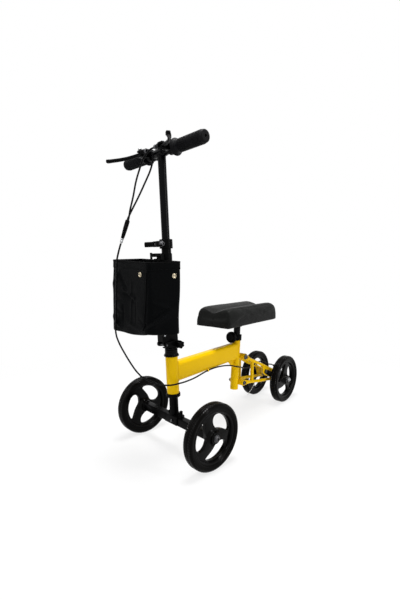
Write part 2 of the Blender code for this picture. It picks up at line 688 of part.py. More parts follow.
def wheel(label, parent, side, track, turn):
    """A rim and its tyre on an axle line, with the outer face outwards."""
    line = line_empty(f"{label}_axis", parent, (side * track / 2, 0, 0))
    facing = 0 if side > 0 else math.pi
    step = 2 * math.pi / WHEEL_STEPS
    turn = round(turn / step) * step
    rim = add(f"rim_{label}", rim_mesh, line)
    tyre = add(f"tyre_{label}", tyre_mesh, line)
    for piece in (rim, tyre):
        piece.rotation_mode = "QUATERNION"
    spin = Matrix.Rotation(facing, 4, "Z") @ Matrix.Rotation(turn, 4, "X")
    rim.rotation_quaternion = spin.to_quaternion()
    tyre.rotation_quaternion = spin.to_quaternion()
    return line


wheel("front_left", front_axle, 1, FRONT_TRACK, 0)
wheel("front_right", front_axle, -1, FRONT_TRACK, math.radians(40))
wheel("rear_left", rear_axle_line, 1, REAR_TRACK, math.radians(-14))
wheel("rear_right", rear_axle_line, -1, REAR_TRACK, math.radians(75))

drum_start = plate_end + 0.001
drum_stop = REAR_TRACK / 2 - WEB_THICKNESS / 2 - GAP
drum = add("brake_drum",
           turned([(drum_outer, drum_stop), (drum_outer, drum_start), (drum_outer - 0.003, drum_start),
                   (HUB_RADIUS + 0.0075, drum_start + 0.003),
                   (bore(HUB_RADIUS + 0.0050, TUBE_SIDES), drum_start + 0.003),
                   (bore(HUB_RADIUS + 0.0050, TUBE_SIDES), drum_stop)], TUBE_SIDES, "X"),
           rear_axle_line, look="dark_steel")

# Front axle: beam across, one axle bolt in each end, and the saddle bolt at the back

beam_half = FRONT_TRACK / 2 - HUB_WIDTH / 2 - GAP
beam = add("front_axle_beam", block((2 * beam_half, BEAM_SIDE, BEAM_SIDE)), front_axle)
beam_shape = bmesh.new()
beam_shape.from_mesh(beam.data)
bmesh.ops.bevel(beam_shape, geom=[e for e in beam_shape.edges
                                  if abs((e.verts[0].co - e.verts[1].co).x) > beam_half],
                offset=0.004, segments=2, affect="EDGES", profile=0.5)
beam_shape.to_mesh(beam.data)
beam_shape.free()
for side in (1, -1):
    cut(beam, along_x(bore(AXLE_RADIUS, BOLT_SIDES), side * (beam_half - 0.035), side * (beam_half + 0.01),
                      0, 0, BOLT_SIDES))
front_hub_face = FRONT_TRACK / 2 + HUB_WIDTH / 2 + GAP
for side, label in ((1, "left"), (-1, "right")):
    bolt = add(f"front_axle_{label}",
               turned([(0, front_hub_face + 0.0075), (0.006, front_hub_face + 0.0075),
                       (0.0095, front_hub_face + 0.005), (0.0095, front_hub_face),
                       (AXLE_RADIUS, front_hub_face), (AXLE_RADIUS, beam_half - 0.033),
                       (0, beam_half - 0.033)], BOLT_SIDES, "X"),
               front_axle, rotation=(0, 0, 0 if side > 0 else math.pi), look="dark_steel")
    cut(bolt, along_x(0.0042, front_hub_face + 0.0025, front_hub_face + 0.02, 0, 0, 6))

# Steerer: tube, saddle over the beam with its side gussets, and the lower fold yoke

steerer = add("steerer", rod(STEERER_RADIUS, (0, 0, BEAM_SIDE / 2 + GAP + 0.001),
                             (0, 0, STEERER_TOP), TUBE_SIDES), column)
saddle_inner = BEAM_SIDE + 2 * GAP
saddle_outer = saddle_inner + 2 * SADDLE_WALL
saddle_length = 0.060
saddle_top = BEAM_SIDE / 2 + GAP + SADDLE_WALL
saddle_bottom = -BEAM_SIDE / 2 + 0.002
fuse(steerer, block((saddle_length, saddle_outer, saddle_top - saddle_bottom),
                    (0, 0, (saddle_top + saddle_bottom) / 2)), front_axle)
for side in (1, -1):
    web_shape = [(side * 0.011, saddle_top - 0.002), (side * 0.029, saddle_top - 0.002),
                 (side * 0.029, saddle_top + 0.004), (side * 0.014, saddle_top + 0.034),
                 (side * 0.011, saddle_top + 0.034)]
    fuse(steerer, sheet(web_shape if side > 0 else web_shape[::-1], 0.005, "XZ"), front_axle)
yoke_floor = HEAD_TUBE_TOP + 0.0325
rear_eye = (FOLD_PIVOT_Y, FOLD_PIVOT_HEIGHT)
front_eye = (FOLD_STOP_Y, FOLD_STOP_HEIGHT)
for side in (1, -1):
    fuse(steerer, sheet(capsule(front_eye, rear_eye, 0.0080, 0.0115), YOKE_PLATE,
                        offset=side * (YOKE_HALF_GAP + YOKE_PLATE / 2)))
fuse(steerer, block((2 * (YOKE_HALF_GAP + YOKE_PLATE), 0.040, 0.004), (0, 0.002, yoke_floor + 0.002)))
fuse(steerer, turned([(0, yoke_floor + 0.002), (0.0185, yoke_floor + 0.002), (0.0185, yoke_floor - 0.002),
                      (0, yoke_floor - 0.002)], 24))
cut(steerer, block((saddle_length + 0.02, saddle_inner, BEAM_SIDE + 0.02), (0, 0, -0.01 + GAP)), front_axle)
saddle_bolt_z = 0.001
saddle_bolt_x = 0.006
cut(steerer, rod(bolt_bore, (saddle_bolt_x, -0.03, saddle_bolt_z),
                 (saddle_bolt_x, 0.03, saddle_bolt_z), BOLT_SIDES), front_axle)
cut(beam, rod(bolt_bore, (saddle_bolt_x, -0.03, saddle_bolt_z),
              (saddle_bolt_x, 0.03, saddle_bolt_z), BOLT_SIDES), front_axle)
cut(steerer, along_x(bolt_bore, -0.04, 0.04, *rear_eye, BOLT_SIDES))
cut(steerer, along_x(bore(0.003, 12), -0.04, 0.04, *front_eye, 12))
saddle_face = saddle_outer / 2 + GAP
saddle_bolt = add("saddle_bolt",
                  turned([(0, saddle_face + 0.008), (0.0065, saddle_face + 0.008),
                          (0.0100, saddle_face + 0.0055), (0.0100, saddle_face),
                          (BOLT_RADIUS, saddle_face), (BOLT_RADIUS, -saddle_face - 0.005),
                          (0, -saddle_face - 0.005)], BOLT_SIDES, "Y"),
                  front_axle, location=(saddle_bolt_x, 0, saddle_bolt_z))
add("fold_stop_pin",
    along_x(0.003, -YOKE_HALF_GAP - YOKE_PLATE - 0.0015, YOKE_HALF_GAP + YOKE_PLATE + 0.0015,
            *front_eye, 12),
    column, look="bright_steel")
yoke_face = YOKE_HALF_GAP + YOKE_PLATE + GAP
pivot_bolt = add("fold_pivot_bolt",
                 turned([(0, yoke_face + 0.0065), (BOLT_RADIUS, yoke_face + 0.0065),
                         (BOLT_RADIUS, -yoke_face), (0.0075, -yoke_face), (0.0075, -yoke_face - 0.004),
                         (0.005, -yoke_face - 0.006), (0, -yoke_face - 0.006)], BOLT_SIDES, "X"),
                 column, location=(0, *rear_eye), look="dark_steel")
knob_lobes = []
for n in range(24):
    t = 2 * math.pi * n / 24
    reach = 0.0108 + 0.0014 * math.cos(6 * t)
    knob_lobes.append((reach * math.cos(t), reach * math.sin(t)))
fold_knob = add("fold_knob", sheet(knob_lobes, 0.019, offset=yoke_face + 0.0095, rounding=0.002),
                column, location=(0, *rear_eye), look="black_plastic")
knob_bore = bore(BOLT_RADIUS, BOLT_SIDES)
cut(fold_knob, along_x(knob_bore, yoke_face - 0.01, yoke_face + 0.0070, 0, 0, BOLT_SIDES))

# Headset cover: the flared black skirt over the top of the head tube

skirt_bottom = HEAD_TUBE_TOP + GAP
skirt_top = yoke_floor - 0.002 - GAP
skirt_flare = HEAD_TUBE_RADIUS + 0.004
add("headset_cover",
    turned([(0.0185, skirt_top), (0.0195, skirt_top - 0.002), (0.0195, skirt_bottom + 0.009),
            (skirt_flare, skirt_bottom + 0.004), (skirt_flare, skirt_bottom), (head_bore, skirt_bottom),
            (head_bore, skirt_top)], TUBE_SIDES),
    column, look="black_plastic")

# Mast: the lower tube of the handlebar column with the upper fold yoke welded to its foot

mast = add("mast", rod(MAST_RADIUS, (0, 0, MAST_BOTTOM), (0, 0, MAST_TOP), TUBE_SIDES), column)
stop_top = FOLD_STOP_HEIGHT + 0.0035
yoke_outline = [(-0.061, 0.292), (-0.061, stop_top - 0.006)]
for n in range(7):
    t = math.radians(180 - 30 * n)
    yoke_outline.append((FOLD_STOP_Y + 0.0034 * math.cos(t), FOLD_STOP_HEIGHT + 0.0034 * math.sin(t)))
yoke_outline = yoke_outline[:2] + [p for p in yoke_outline[2:] if p[1] >= FOLD_STOP_HEIGHT - 1e-6]
yoke_outline += [(FOLD_STOP_Y + 0.0034, stop_top - 0.006), (-0.040, stop_top - 0.006),
                 (-0.020, FOLD_PIVOT_HEIGHT - 0.001)]
for n in range(9):
    t = math.radians(-155 + 26 * n)
    yoke_outline.append((FOLD_PIVOT_Y + 0.0095 * math.cos(t), FOLD_PIVOT_HEIGHT + 0.0095 * math.sin(t)))
yoke_outline += [(0.0165, 0.264), (0.0155, 0.292)]
inner_plate = 0.004
for side in (1, -1):
    fuse(mast, sheet(yoke_outline, inner_plate, offset=side * (YOKE_HALF_GAP - GAP - inner_plate / 2)))
fuse(mast, block((2 * (YOKE_HALF_GAP - GAP) - 0.001, 0.004, 0.034), (0, -0.0588, 0.2745)))
fuse(mast, along_x(0.0085, -YOKE_HALF_GAP + 0.002, YOKE_HALF_GAP - 0.002, *rear_eye, 16))
stem_bore = bore(STEM_RADIUS, TUBE_SIDES)
cut(mast, rod(stem_bore, (0, 0, MAST_BOTTOM + 0.02), (0, 0, MAST_TOP + 0.01), TUBE_SIDES))
cut(mast, along_x(bolt_bore, -0.04, 0.04, *rear_eye, BOLT_SIDES))
cut(mast, along_x(0.0042, -0.04, 0.04, -0.036, 0.275, BOLT_SIDES))

# Quick-release clamp at the top of the mast

clamp_bottom = CLAMP_HEIGHT - CLAMP_LENGTH / 2
clamp_top = CLAMP_HEIGHT + CLAMP_LENGTH / 2
clamp_bore = bore(MAST_RADIUS, TUBE_SIDES)
stem_clear = bore(STEM_RADIUS, TUBE_SIDES)
clamp_outer = MAST_RADIUS + 0.005
skewer_y = -MAST_RADIUS - 0.0105
clamp = add("clamp_collar",
            turned([(clamp_outer - 0.001, clamp_top), (clamp_outer, clamp_top - 0.0015),
                    (clamp_outer, clamp_bottom), (clamp_bore, clamp_bottom),
                    (clamp_bore, MAST_TOP + GAP), (stem_clear, MAST_TOP + GAP),
                    (stem_clear, clamp_top)], TUBE_SIDES),
            column)
fuse(clamp, block((0.021, 0.018, 0.017), (0, -MAST_RADIUS - 0.0085, CLAMP_HEIGHT), 0.002, 1))
cut(clamp, rod(clamp_bore, (0, 0, clamp_bottom - 0.01), (0, 0, MAST_TOP + GAP), TUBE_SIDES))
cut(clamp, block((0.003, 0.030, 0.05), (0, -MAST_RADIUS - 0.0135, CLAMP_HEIGHT)))
cut(clamp, along_x(bore(0.003, 12), -0.02, 0.02, skewer_y, CLAMP_HEIGHT, 12))
ear_face = 0.0105 + GAP
skewer = add("clamp_skewer",
             turned([(0, ear_face + 0.009), (0.006, ear_face + 0.009), (0.0085, ear_face + 0.006),
                     (0.0085, ear_face), (0.003, ear_face), (0.003, -ear_face - 0.0075),
                     (0, -ear_face - 0.0075)], BOLT_SIDES, "X"),
             column, location=(0, skewer_y, CLAMP_HEIGHT), look="dark_steel")
cam_x = -ear_face - 0.0075
fuse(skewer, rod(0.0028, (cam_x, 0, -0.0078), (cam_x, 0, 0.0078), 12))
lever_line = line_empty("clamp_lever_line", column, (cam_x, skewer_y, CLAMP_HEIGHT))
blade_path = [(0, 0), (-0.010, -0.002), (-0.020, -0.005), (-0.030, -0.009), (-0.036, -0.012)]
quick = add("clamp_lever", rod(0.0070, (0, 0, -0.008), (0, 0, 0.008), 20), lever_line)
fuse(quick, sheet(ribbon(blade_path, [0.005, 0.0035, 0.003, 0.003, 0.0022]), 0.014, "XY"))
cut(quick, block((0.0160, 0.0138, 0.0072), (0.0020, -0.0031, 0)))
cut(quick, rod(bore(0.0028, 12), (0, 0, -0.01), (0, 0, 0.01), 12))

# Bag bracket: a clamp block on the mast with a ribbed arm, a ring and an up-turned hook

bracket_z = 0.501
bracket = add("bag_bracket",
              turned([(MAST_RADIUS + 0.0055, bracket_z + 0.013), (MAST_RADIUS + 0.0055, bracket_z - 0.013),
                      (clamp_bore, bracket_z - 0.013), (clamp_bore, bracket_z + 0.013)], TUBE_SIDES),
              column, look="black_plastic")
block_front = BAG_REAR + GAP
fuse(bracket, block((0.024, -block_front - 0.010, 0.026), (0, (block_front - 0.010) / 2, bracket_z)))
fuse(bracket, block((0.020, 0.044, 0.007), (0, -0.048, bracket_z + 0.0045)))
for side in (1, -1):
    fuse(bracket, block((0.003, 0.046, 0.012), (side * 0.0080, -0.047, bracket_z + 0.0068)))
ring_y = -0.074
fuse(bracket, turned([(0.008, bracket_z + 0.0085), (0.008, bracket_z + 0.0005),
                      (0.0045, bracket_z + 0.0005), (0.0045, bracket_z + 0.0085)], 16),
     location=(0, ring_y, 0))
fuse(bracket, block((0.010, 0.003, 0.0180), (0, ring_y - 0.0072, bracket_z + 0.0108)))
cut(bracket, rod(clamp_bore, (0, 0, bracket_z - 0.03), (0, 0, bracket_z + 0.03), TUBE_SIDES))

# Bag: an open-topped box of cloth, with rounded corners and a slightly narrower foot


def bag_ring(width, depth, corner, steps=3):
    """A rectangle with rounded corners about the bag's middle."""
    points = []
    for cx, cy, first in ((1, -1, -90), (1, 1, 0), (-1, 1, 90), (-1, -1, 180)):
        for n in range(steps + 1):
            t = math.radians(first + 90 * n / steps)
            points.append((cx * (width / 2 - corner) + corner * math.cos(t),
                           cy * (depth / 2 - corner) + corner * math.sin(t)))
    return points


bag_shape = bmesh.new()
rings = []
for rise, narrow in ((0.0, 0.965), (0.006, 0.985), (0.06, 0.995), (0.14, 0.99), (0.173, 1.0),
                     (BAG_HEIGHT, 1.0)):
    rear = BAG_REAR - BAG_DEPTH / 2
    rings.append([bag_shape.verts.new((x, y + rear, BAG_BOTTOM + rise))
                  for x, y in bag_ring(BAG_WIDTH * narrow, BAG_DEPTH * narrow, 0.009)])
for low, high in zip(rings, rings[1:]):
    for n in range(len(low)):
        m = (n + 1) % len(low)
        bag_shape.faces.new((low[n], low[m], high[m], high[n]))
bag_shape.faces.new(rings[0][::-1])
bag_mesh = bpy.data.meshes.new("bag")
bag_shape.to_mesh(bag_mesh)
bag_shape.free()
bag = add("bag", smooth(bag_mesh, 40), column, look="bag_nylon")
cloth = bag.modifiers.new("cloth", "SOLIDIFY")
cloth.thickness = BAG_WALL
cloth.offset = -1
cloth.use_even_offset = True
snap_z = BAG_BOTTOM + BAG_HEIGHT - 0.041
bag_front = BAG_REAR - BAG_DEPTH
snap_profile = [(0, 0.0022), (0.0050, 0.0022), (0.0066, 0.0010), (0.0066, 0), (0, 0)]
add("bag_snap_front", turned(snap_profile, BOLT_SIDES, "Y"), column,
    location=(BAG_WIDTH / 2 - 0.063, bag_front - GAP, snap_z), rotation=(0, 0, math.pi), look="brass")
add("bag_snap_side", turned(snap_profile, BOLT_SIDES, "X"), column,
    location=(BAG_WIDTH / 2 + GAP, bag_front + 0.068, snap_z), look="brass")

# Handlebar: the inner column tube with the cross bar and its sleeve, welded as one

bar_line = line_empty("bar_line", column, (0, 0, HANDLEBAR_HEIGHT))
bar = add("handlebar", rod(STEM_RADIUS, (0, 0, STEM_BOTTOM - HANDLEBAR_HEIGHT), (0, 0, -0.004), TUBE_SIDES),
          bar_line)
fuse(bar, along_x(BAR_RADIUS, -BAR_HALF_LENGTH, BAR_HALF_LENGTH, 0, 0, BAR_SIDES))
fuse(bar, turned([(0, 0.024), (BAR_RADIUS + 0.0005, 0.024), (0.0140, 0.017), (0.0140, -0.017),
                  (BAR_RADIUS + 0.0005, -0.024), (0, -0.024)], 24, "X"))

grip_bore = bore(BAR_RADIUS, BAR_SIDES)
grip_mesh = turned([(0, GRIP_END), (0.0125, GRIP_END), (GRIP_RADIUS, GRIP_END - 0.004),
                    (GRIP_RADIUS + 0.0004, GRIP_END - 0.05), (GRIP_RADIUS - 0.001, GRIP_START + 0.016),
                    (GRIP_RADIUS, GRIP_START + 0.008), (GRIP_FLANGE_RADIUS - 0.002, GRIP_START + 0.006),
                    (GRIP_FLANGE_RADIUS, GRIP_START + 0.004), (GRIP_FLANGE_RADIUS, GRIP_START),
                    (grip_bore, GRIP_START), (grip_bore, BAR_HALF_LENGTH + GAP),
                    (0, BAR_HALF_LENGTH + GAP)], BAR_SIDES, "X")
grip_mesh.materials.append(MATERIALS["grip_rubber"])
add("grip_left", grip_mesh, bar_line)
add("grip_right", grip_mesh, bar_line, rotation=(0, 0, math.pi))

# Brake controls: a perch and a lever for each hand, mirror images of each other


def mirrored(mesh, side):
    """The shape itself for the left side, or its mirror image for the right."""
    if side < 0:
        mesh.transform(Matrix.Scale(-1, 4, (1, 0, 0)))
        mesh.flip_normals()
    return mesh


slot_half = LEVER_THICKNESS / 2 + GAP
adjuster_z = 0.003
adjuster_y = -0.036
adjuster_end = 0.018
for side, label in ((1, "left"), (-1, "right")):
    perch = add(f"brake_perch_{label}",
                turned([(0.0155, PERCH_X + PERCH_WIDTH / 2), (0.0155, PERCH_X - PERCH_WIDTH / 2),
                        (grip_bore, PERCH_X - PERCH_WIDTH / 2), (grip_bore, PERCH_X + PERCH_WIDTH / 2)],
                       BAR_SIDES, "X"),
                bar_line, rotation=(0, 0, 0 if side > 0 else math.pi), look="black_plastic")
    fuse(perch, mirrored(block((0.020, 0.032, 0.019), (PERCH_X - 0.001, -0.0275, 0.0005), 0.003, 2),
                         side), bar_line)
    barrel = rod(0.0055, (PERCH_X - 0.005, adjuster_y, adjuster_z),
                 (adjuster_end + 0.008, adjuster_y, adjuster_z), BOLT_SIDES, 0.0048)
    fuse(perch, mirrored(barrel, side), bar_line)
    adjuster = rod(0.0058, (adjuster_end + 0.0085, adjuster_y, adjuster_z),
                   (adjuster_end, adjuster_y, adjuster_z), BOLT_SIDES, 0.0052)
    fuse(perch, mirrored(adjuster, side), bar_line)
    cut(perch, along_x(grip_bore, side * 0.03, side * 0.07, 0, 0, BAR_SIDES), bar_line)
    slot = [(0.0405, -0.021), (0.0405, -0.050), (0.070, -0.050), (0.070, -0.021)]
    cut(perch, mirrored(sheet(slot, 2 * slot_half, "XY"), side), bar_line)
    fuse(perch, rod(0.003, (side * PERCH_X, LEVER_PIVOT_Y, -0.0105),
                    (side * PERCH_X, LEVER_PIVOT_Y, 0.0125), 12), bar_line)
    pivot = line_empty(f"lever_{label}_line", bar_line, (side * PERCH_X, LEVER_PIVOT_Y, 0))
    reach = Vector((LEVER_TIP_X - PERCH_X, LEVER_TIP_Y - LEVER_PIVOT_Y))
    along = reach.normalized()
    across = Vector((-along.y, along.x))
    bow = ((0.0, 0.0), (0.12, 0.002), (0.30, 0.006), (0.50, 0.0075), (0.70, 0.005), (0.88, 0.000),
           (1.0, -0.003))
    centres = [tuple(reach * s + across * b) for s, b in bow]
    blade = sheet(ribbon(centres, [0.0062, 0.0066, 0.0055, 0.0048, 0.0048, 0.0050, 0.0052]),
                  LEVER_THICKNESS, "XY")
    lever = add(f"brake_lever_{label}", mirrored(blade, side), pivot)
    boss_half = LEVER_THICKNESS / 2 - 0.0002
    fuse(lever, rod(0.0068, (0, 0, -boss_half), (0, 0, boss_half), 14))
    tip = Vector(centres[-1])
    knob_end = bmesh.new()
    bmesh.ops.create_uvsphere(knob_end, u_segments=10, v_segments=6, radius=0.0062)
    knob_end.transform(Matrix.Translation((side * tip.x, tip.y, 0)))
    ball = bpy.data.meshes.new("ball_end")
    knob_end.to_mesh(ball)
    knob_end.free()
    fuse(lever, smooth(ball))
    cut(lever, rod(bore(0.003, 12), (0, 0, -0.01), (0, 0, 0.01), 12))

# Parking button on the right perch

park_x = -PERCH_X - 0.0065
park_y = LEVER_PIVOT_Y + 0.007
park_top = 0.0095 + 0.0005
park_button = add("park_button",
                  turned([(0, park_top + 0.0095), (0.0045, park_top + 0.0095),
                          (0.0055, park_top + 0.0085), (0.0055, park_top + 0.0065),
                          (0.0020, park_top + 0.0065), (0.0020, park_top - 0.0012),
                          (0, park_top - 0.0012)], BOLT_SIDES),
                  bar_line, location=(park_x, park_y, 0), look="bright_steel")
cut(bpy.data.objects["brake_perch_right"],
    rod(bore(0.0020, 12), (park_x, park_y, 0.0025), (park_x, park_y, 0.02), 12), bar_line)

# Brake cable: two leads from the levers, the two-to-one junction, then one cable to the drum

junction_top = Vector((-0.0308, -0.1030, -0.1813))
junction_bottom = Vector((-0.0388, -0.1191, -0.2291))
ferrule_bottom = Vector((-0.0410, -0.1235, -0.2420))
down = (junction_bottom - junction_top).normalized()
forward = Vector((0.62, -0.78, 0))
sidewise = (forward - down * forward.dot(down)).normalized()
junction = add("cable_junction", rod(0.0062, junction_top, junction_bottom, BOLT_SIDES, 0.0045),
               bar_line, look="black_plastic")
fuse(junction, rod(0.0036, junction_bottom - down * 0.002, ferrule_bottom, BOLT_SIDES))
lead_offset = CABLE_RADIUS + 0.0004
inwards = Vector((-1, 0, 0))
outlet = Vector((adjuster_end - GAP, adjuster_y, adjuster_z))
left_route = [(0.002, -0.0400, 0.000), (-0.008, -0.0450, -0.0085), (-0.018, -0.0490, -0.019),
              (-0.030, -0.0530, -0.040), (-0.0365, -0.0650, -0.077), (-0.0340, -0.0790, -0.118),
              (-0.0310, -0.0935, -0.154)]
right_route = [(-0.0060, -0.0345, 0.001), (0.0000, -0.0325, -0.005), (0.0012, -0.0310, -0.014),
               (-0.0035, -0.0300, -0.029), (-0.0135, -0.0325, -0.050), (-0.0235, -0.0445, -0.080),
               (-0.0295, -0.0640, -0.117), (-0.0335, -0.0865, -0.154)]
cable("brake_cable_left", bar_line, outlet, inwards, left_route, down,
      junction_top - down * GAP + sidewise * lead_offset, 0.0150)
cable("brake_cable_right", bar_line, Vector((-outlet.x, outlet.y, outlet.z)), -inwards, right_route,
      down, junction_top - down * GAP - sidewise * lead_offset, 0.0150)

# The single cable in front of the bag, round the column and along the frame to the left rear wheel

top_height = HANDLEBAR_HEIGHT + ferrule_bottom.z
bag_foot = Vector((-0.0870, -0.1346, 0.2949))
past_foot = Vector((-0.05, 0.05, -1)).normalized()
column_end = Vector((-0.0333, -0.0876, 0.1536))
past_column = Vector((0.78, 0.46, -0.42)).normalized()
middle_route = [(-0.0485, -0.1290, 0.5200), (-0.0548, -0.1315, 0.5002), (-0.0611, -0.1328, 0.4585),
                (-0.0693, -0.1336, 0.4019), (-0.0788, -0.1342, 0.3434)]
cable("brake_cable_middle", column,
      Vector((ferrule_bottom.x, ferrule_bottom.y, top_height)) + down * GAP, down, middle_route,
      past_foot, bag_foot, 0.0240)
lower_route = [(-0.0868, -0.1325, 0.2763), (-0.0815, -0.1275, 0.2540), (-0.0755, -0.1191, 0.2299),
               (-0.0666, -0.1092, 0.2027), (-0.0515, -0.0988, 0.1740)]
cable("brake_cable_lower", column, bag_foot + past_foot * GAP, past_foot, lower_route, past_column,
      column_end, 0.0180)
clip_behind = 0.141
clip_x = 0.0212
clip_z = 0.2290
into_world = ground.matrix_world.inverted() @ column.matrix_world
rear_start = into_world @ (column_end + past_column * GAP)
rear_leave = into_world.to_3x3() @ past_column
arm_tip = Vector((arm_x + 0.001, WHEELBASE + arm_pivot[0] + arm_end[0],
                  AXLE_IN_FRAME + arm_pivot[1] + arm_end[1]))
arrival = Vector((0.0, -0.92, 0.39))
rear_route = [(-0.0139, -0.0740, 0.2338), (0.0009, -0.0660, 0.2293), (0.0150, -0.0560, 0.2272),
              (0.0270, -0.0380, 0.2255), (0.0330, -0.0120, 0.2250), (0.0320, 0.0200, 0.2230),
              (0.0260, 0.0700, 0.2220), (clip_x, clip_behind, clip_z)]
beside_tube = MAIN_TUBE_WIDTH / 2 + 0.003
beside_seat = SEAT_TUBE_RADIUS + 0.0055
for x, behind, z in ((beside_tube, -0.129, 0.2285), (beside_tube, -0.065, 0.2196),
                     (beside_seat, -0.007, 0.2020), (SEAT_TUBE_RADIUS - 0.001, 0.025, 0.1915),
                     (0.0125, 0.046, 0.1835), (0.0150, 0.073, 0.1795), (0.0190, 0.099, 0.1835),
                     (0.0230, 0.117, 0.1912), (0.0290, 0.132, 0.1955), (0.0355, 0.148, 0.1925),
                     (0.0400, 0.164, 0.1850), (0.0432, 0.183, 0.1765)):
    rear_route.append((x, SEAT_TUBE_BEHIND_STEERING + behind, z))
rear_route.append(arm_tip + arrival * 0.025)
cable("brake_cable_rear", ground, rear_start, rear_leave, rear_route, -arrival,
      arm_tip + arrival * 0.0051, 0.0230)
clip_bore = CABLE_RADIUS + 0.0009
add("cable_clip",
    turned([(clip_bore + 0.0018, 0.004), (clip_bore + 0.0018, -0.004), (clip_bore, -0.004),
            (clip_bore, 0.004)], BOLT_SIDES, "Y"),
    ground, location=(clip_x, clip_behind, clip_z), look="black_plastic")

# Seat: post, plate with its socket, and the knee pad

post = add("seat_post", rod(POST_RADIUS, (0, 0, POST_BOTTOM), (0, 0, POST_TOP), TUBE_SIDES), seat)
plate_top = PAD_BOTTOM_Z - GAP
pad_line = line_empty("pad_line", ground,
                      (0, PAD_FRONT_BEHIND + PAD_LENGTH / 2, PAD_BOTTOM_Z))
pad_plate = add("pad_plate", block((0.092, 0.230, PLATE_THICKNESS),
                                   (0, 0, -GAP - PLATE_THICKNESS / 2)), pad_line)
plate_shape = bmesh.new()
plate_shape.from_mesh(pad_plate.data)
bmesh.ops.bevel(plate_shape, geom=[e for e in plate_shape.edges
                                   if abs((e.verts[0].co - e.verts[1].co).z) > PLATE_THICKNESS / 2],
                offset=0.012, segments=3, affect="EDGES", profile=0.5)
plate_shape.to_mesh(pad_plate.data)
plate_shape.free()
post_clear = bore(POST_RADIUS, TUBE_SIDES)
socket = POST_RADIUS + 0.0048
fuse(pad_plate, turned([(socket, POST_TOP + 0.0035), (socket, POST_TOP - 0.014),
                        (post_clear, POST_TOP - 0.014), (post_clear, POST_TOP + 0.0035)], TUBE_SIDES), seat)
cut(pad_plate, rod(post_clear, (0, 0, POST_TOP - 0.03), (0, 0, POST_TOP + GAP), TUBE_SIDES), seat)

half_width = PAD_WIDTH / 2
ridge = PAD_THICKNESS
valley = PAD_THICKNESS - PAD_VALLEY_DEPTH
section = [(0.0, 0.0), (0.88, 0.0), (1.0, 0.05), (1.015, 0.30), (0.985, 0.66), (0.92, 0.88),
           (0.68, 1.03), (0.36, 0.97)]
stations = [(0.000, 0.90, 0.10, 0.46), (0.008, 0.955, 0.0, 0.68), (0.040, 0.985, 0.0, 0.88),
            (0.100, 1.0, 0.0, 0.98), (0.300, 0.99, 0.0, 1.0), (0.520, 0.975, 0.0, 1.0),
            (0.760, 0.99, 0.0, 1.0), (0.930, 1.0, 0.0, 0.985), (0.980, 0.975, 0.0, 0.90),
            (1.000, 0.90, 0.10, 0.55)]
pad_shape = bmesh.new()
loops = []
for along_share, wide, lift, high in stations:
    y = (along_share - 0.5) * PAD_LENGTH
    loop = []
    for x_share, z_share in section:
        z = max(z_share * ridge * high, lift * ridge)
        loop.append((x_share * half_width * wide, z))
    loop.append((0.0, valley * high))
    full = loop + [(-x, z) for x, z in loop[-2:0:-1]]
    loops.append([pad_shape.verts.new((x, y, z)) for x, z in full])
for near, far in zip(loops, loops[1:]):
    for n in range(len(near)):
        m = (n + 1) % len(near)
        pad_shape.faces.new((near[n], near[m], far[m], far[n]))
pad_shape.faces.new(loops[0][::-1])
pad_shape.faces.new(loops[-1])
bmesh.ops.recalc_face_normals(pad_shape, faces=pad_shape.faces)
pad_mesh = bpy.data.meshes.new("knee_pad")
pad_shape.to_mesh(pad_mesh)
pad_shape.free()
pad = add("knee_pad", smooth(pad_mesh, 180), pad_line, look="pad_vinyl")
soft = pad.modifiers.new("soft", "SUBSURF")
soft.levels = 1
soft.render_levels = 1
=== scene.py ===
# %% [markdown]
# # A steerable knee walker, piece by piece
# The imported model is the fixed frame: every body, hinge and axle is already where it belongs.
# This lesson dresses that frame. Each cell makes one piece or one finish of the real walker:
# welded yellow tubes, a black steering column, four rubber wheels, a bag, a pad and five cables.
# Everything is in metres, with the floor at z = 0, +X to the rider's left and +Y to the rear.

# %% Load the frame
import json
import math
import bmesh
import bpy
import numpy as np
from mathutils import Matrix, Vector
from mathutils.geometry import interpolate_bezier


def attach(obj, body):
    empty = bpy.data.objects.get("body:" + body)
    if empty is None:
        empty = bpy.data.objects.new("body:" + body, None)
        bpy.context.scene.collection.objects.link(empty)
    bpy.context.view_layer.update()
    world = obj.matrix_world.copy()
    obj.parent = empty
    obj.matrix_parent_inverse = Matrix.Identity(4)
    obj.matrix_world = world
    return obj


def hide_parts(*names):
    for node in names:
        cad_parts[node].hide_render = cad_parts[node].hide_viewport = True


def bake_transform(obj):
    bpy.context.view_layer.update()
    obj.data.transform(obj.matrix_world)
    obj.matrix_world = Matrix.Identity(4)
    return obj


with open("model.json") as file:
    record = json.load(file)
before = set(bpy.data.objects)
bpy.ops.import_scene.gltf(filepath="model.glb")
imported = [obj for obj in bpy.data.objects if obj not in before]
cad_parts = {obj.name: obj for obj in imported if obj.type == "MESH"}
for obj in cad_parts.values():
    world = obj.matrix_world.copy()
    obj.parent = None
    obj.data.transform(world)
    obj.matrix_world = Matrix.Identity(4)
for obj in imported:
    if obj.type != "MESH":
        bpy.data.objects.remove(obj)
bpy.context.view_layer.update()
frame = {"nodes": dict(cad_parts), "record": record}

# %% [markdown]
# A welder's jig has a few lines that everything is measured from. Here each line is a matrix:
# the ground under the steering axis, the leaning column, the axles, the seat tube and the bar.
# A piece is drawn round its own line and then carried to its place with that matrix, so its
# mesh ends up in the walker's space and its object can stay at the origin.

# %% The lines that pieces are built on
AXLE_HEIGHT = 0.1 * math.cos(math.pi / 24)


def shift(x, y, z):
    return Matrix.Translation((x, y, z))


def turn(degrees, axis):
    return Matrix.Rotation(math.radians(degrees), 4, axis)


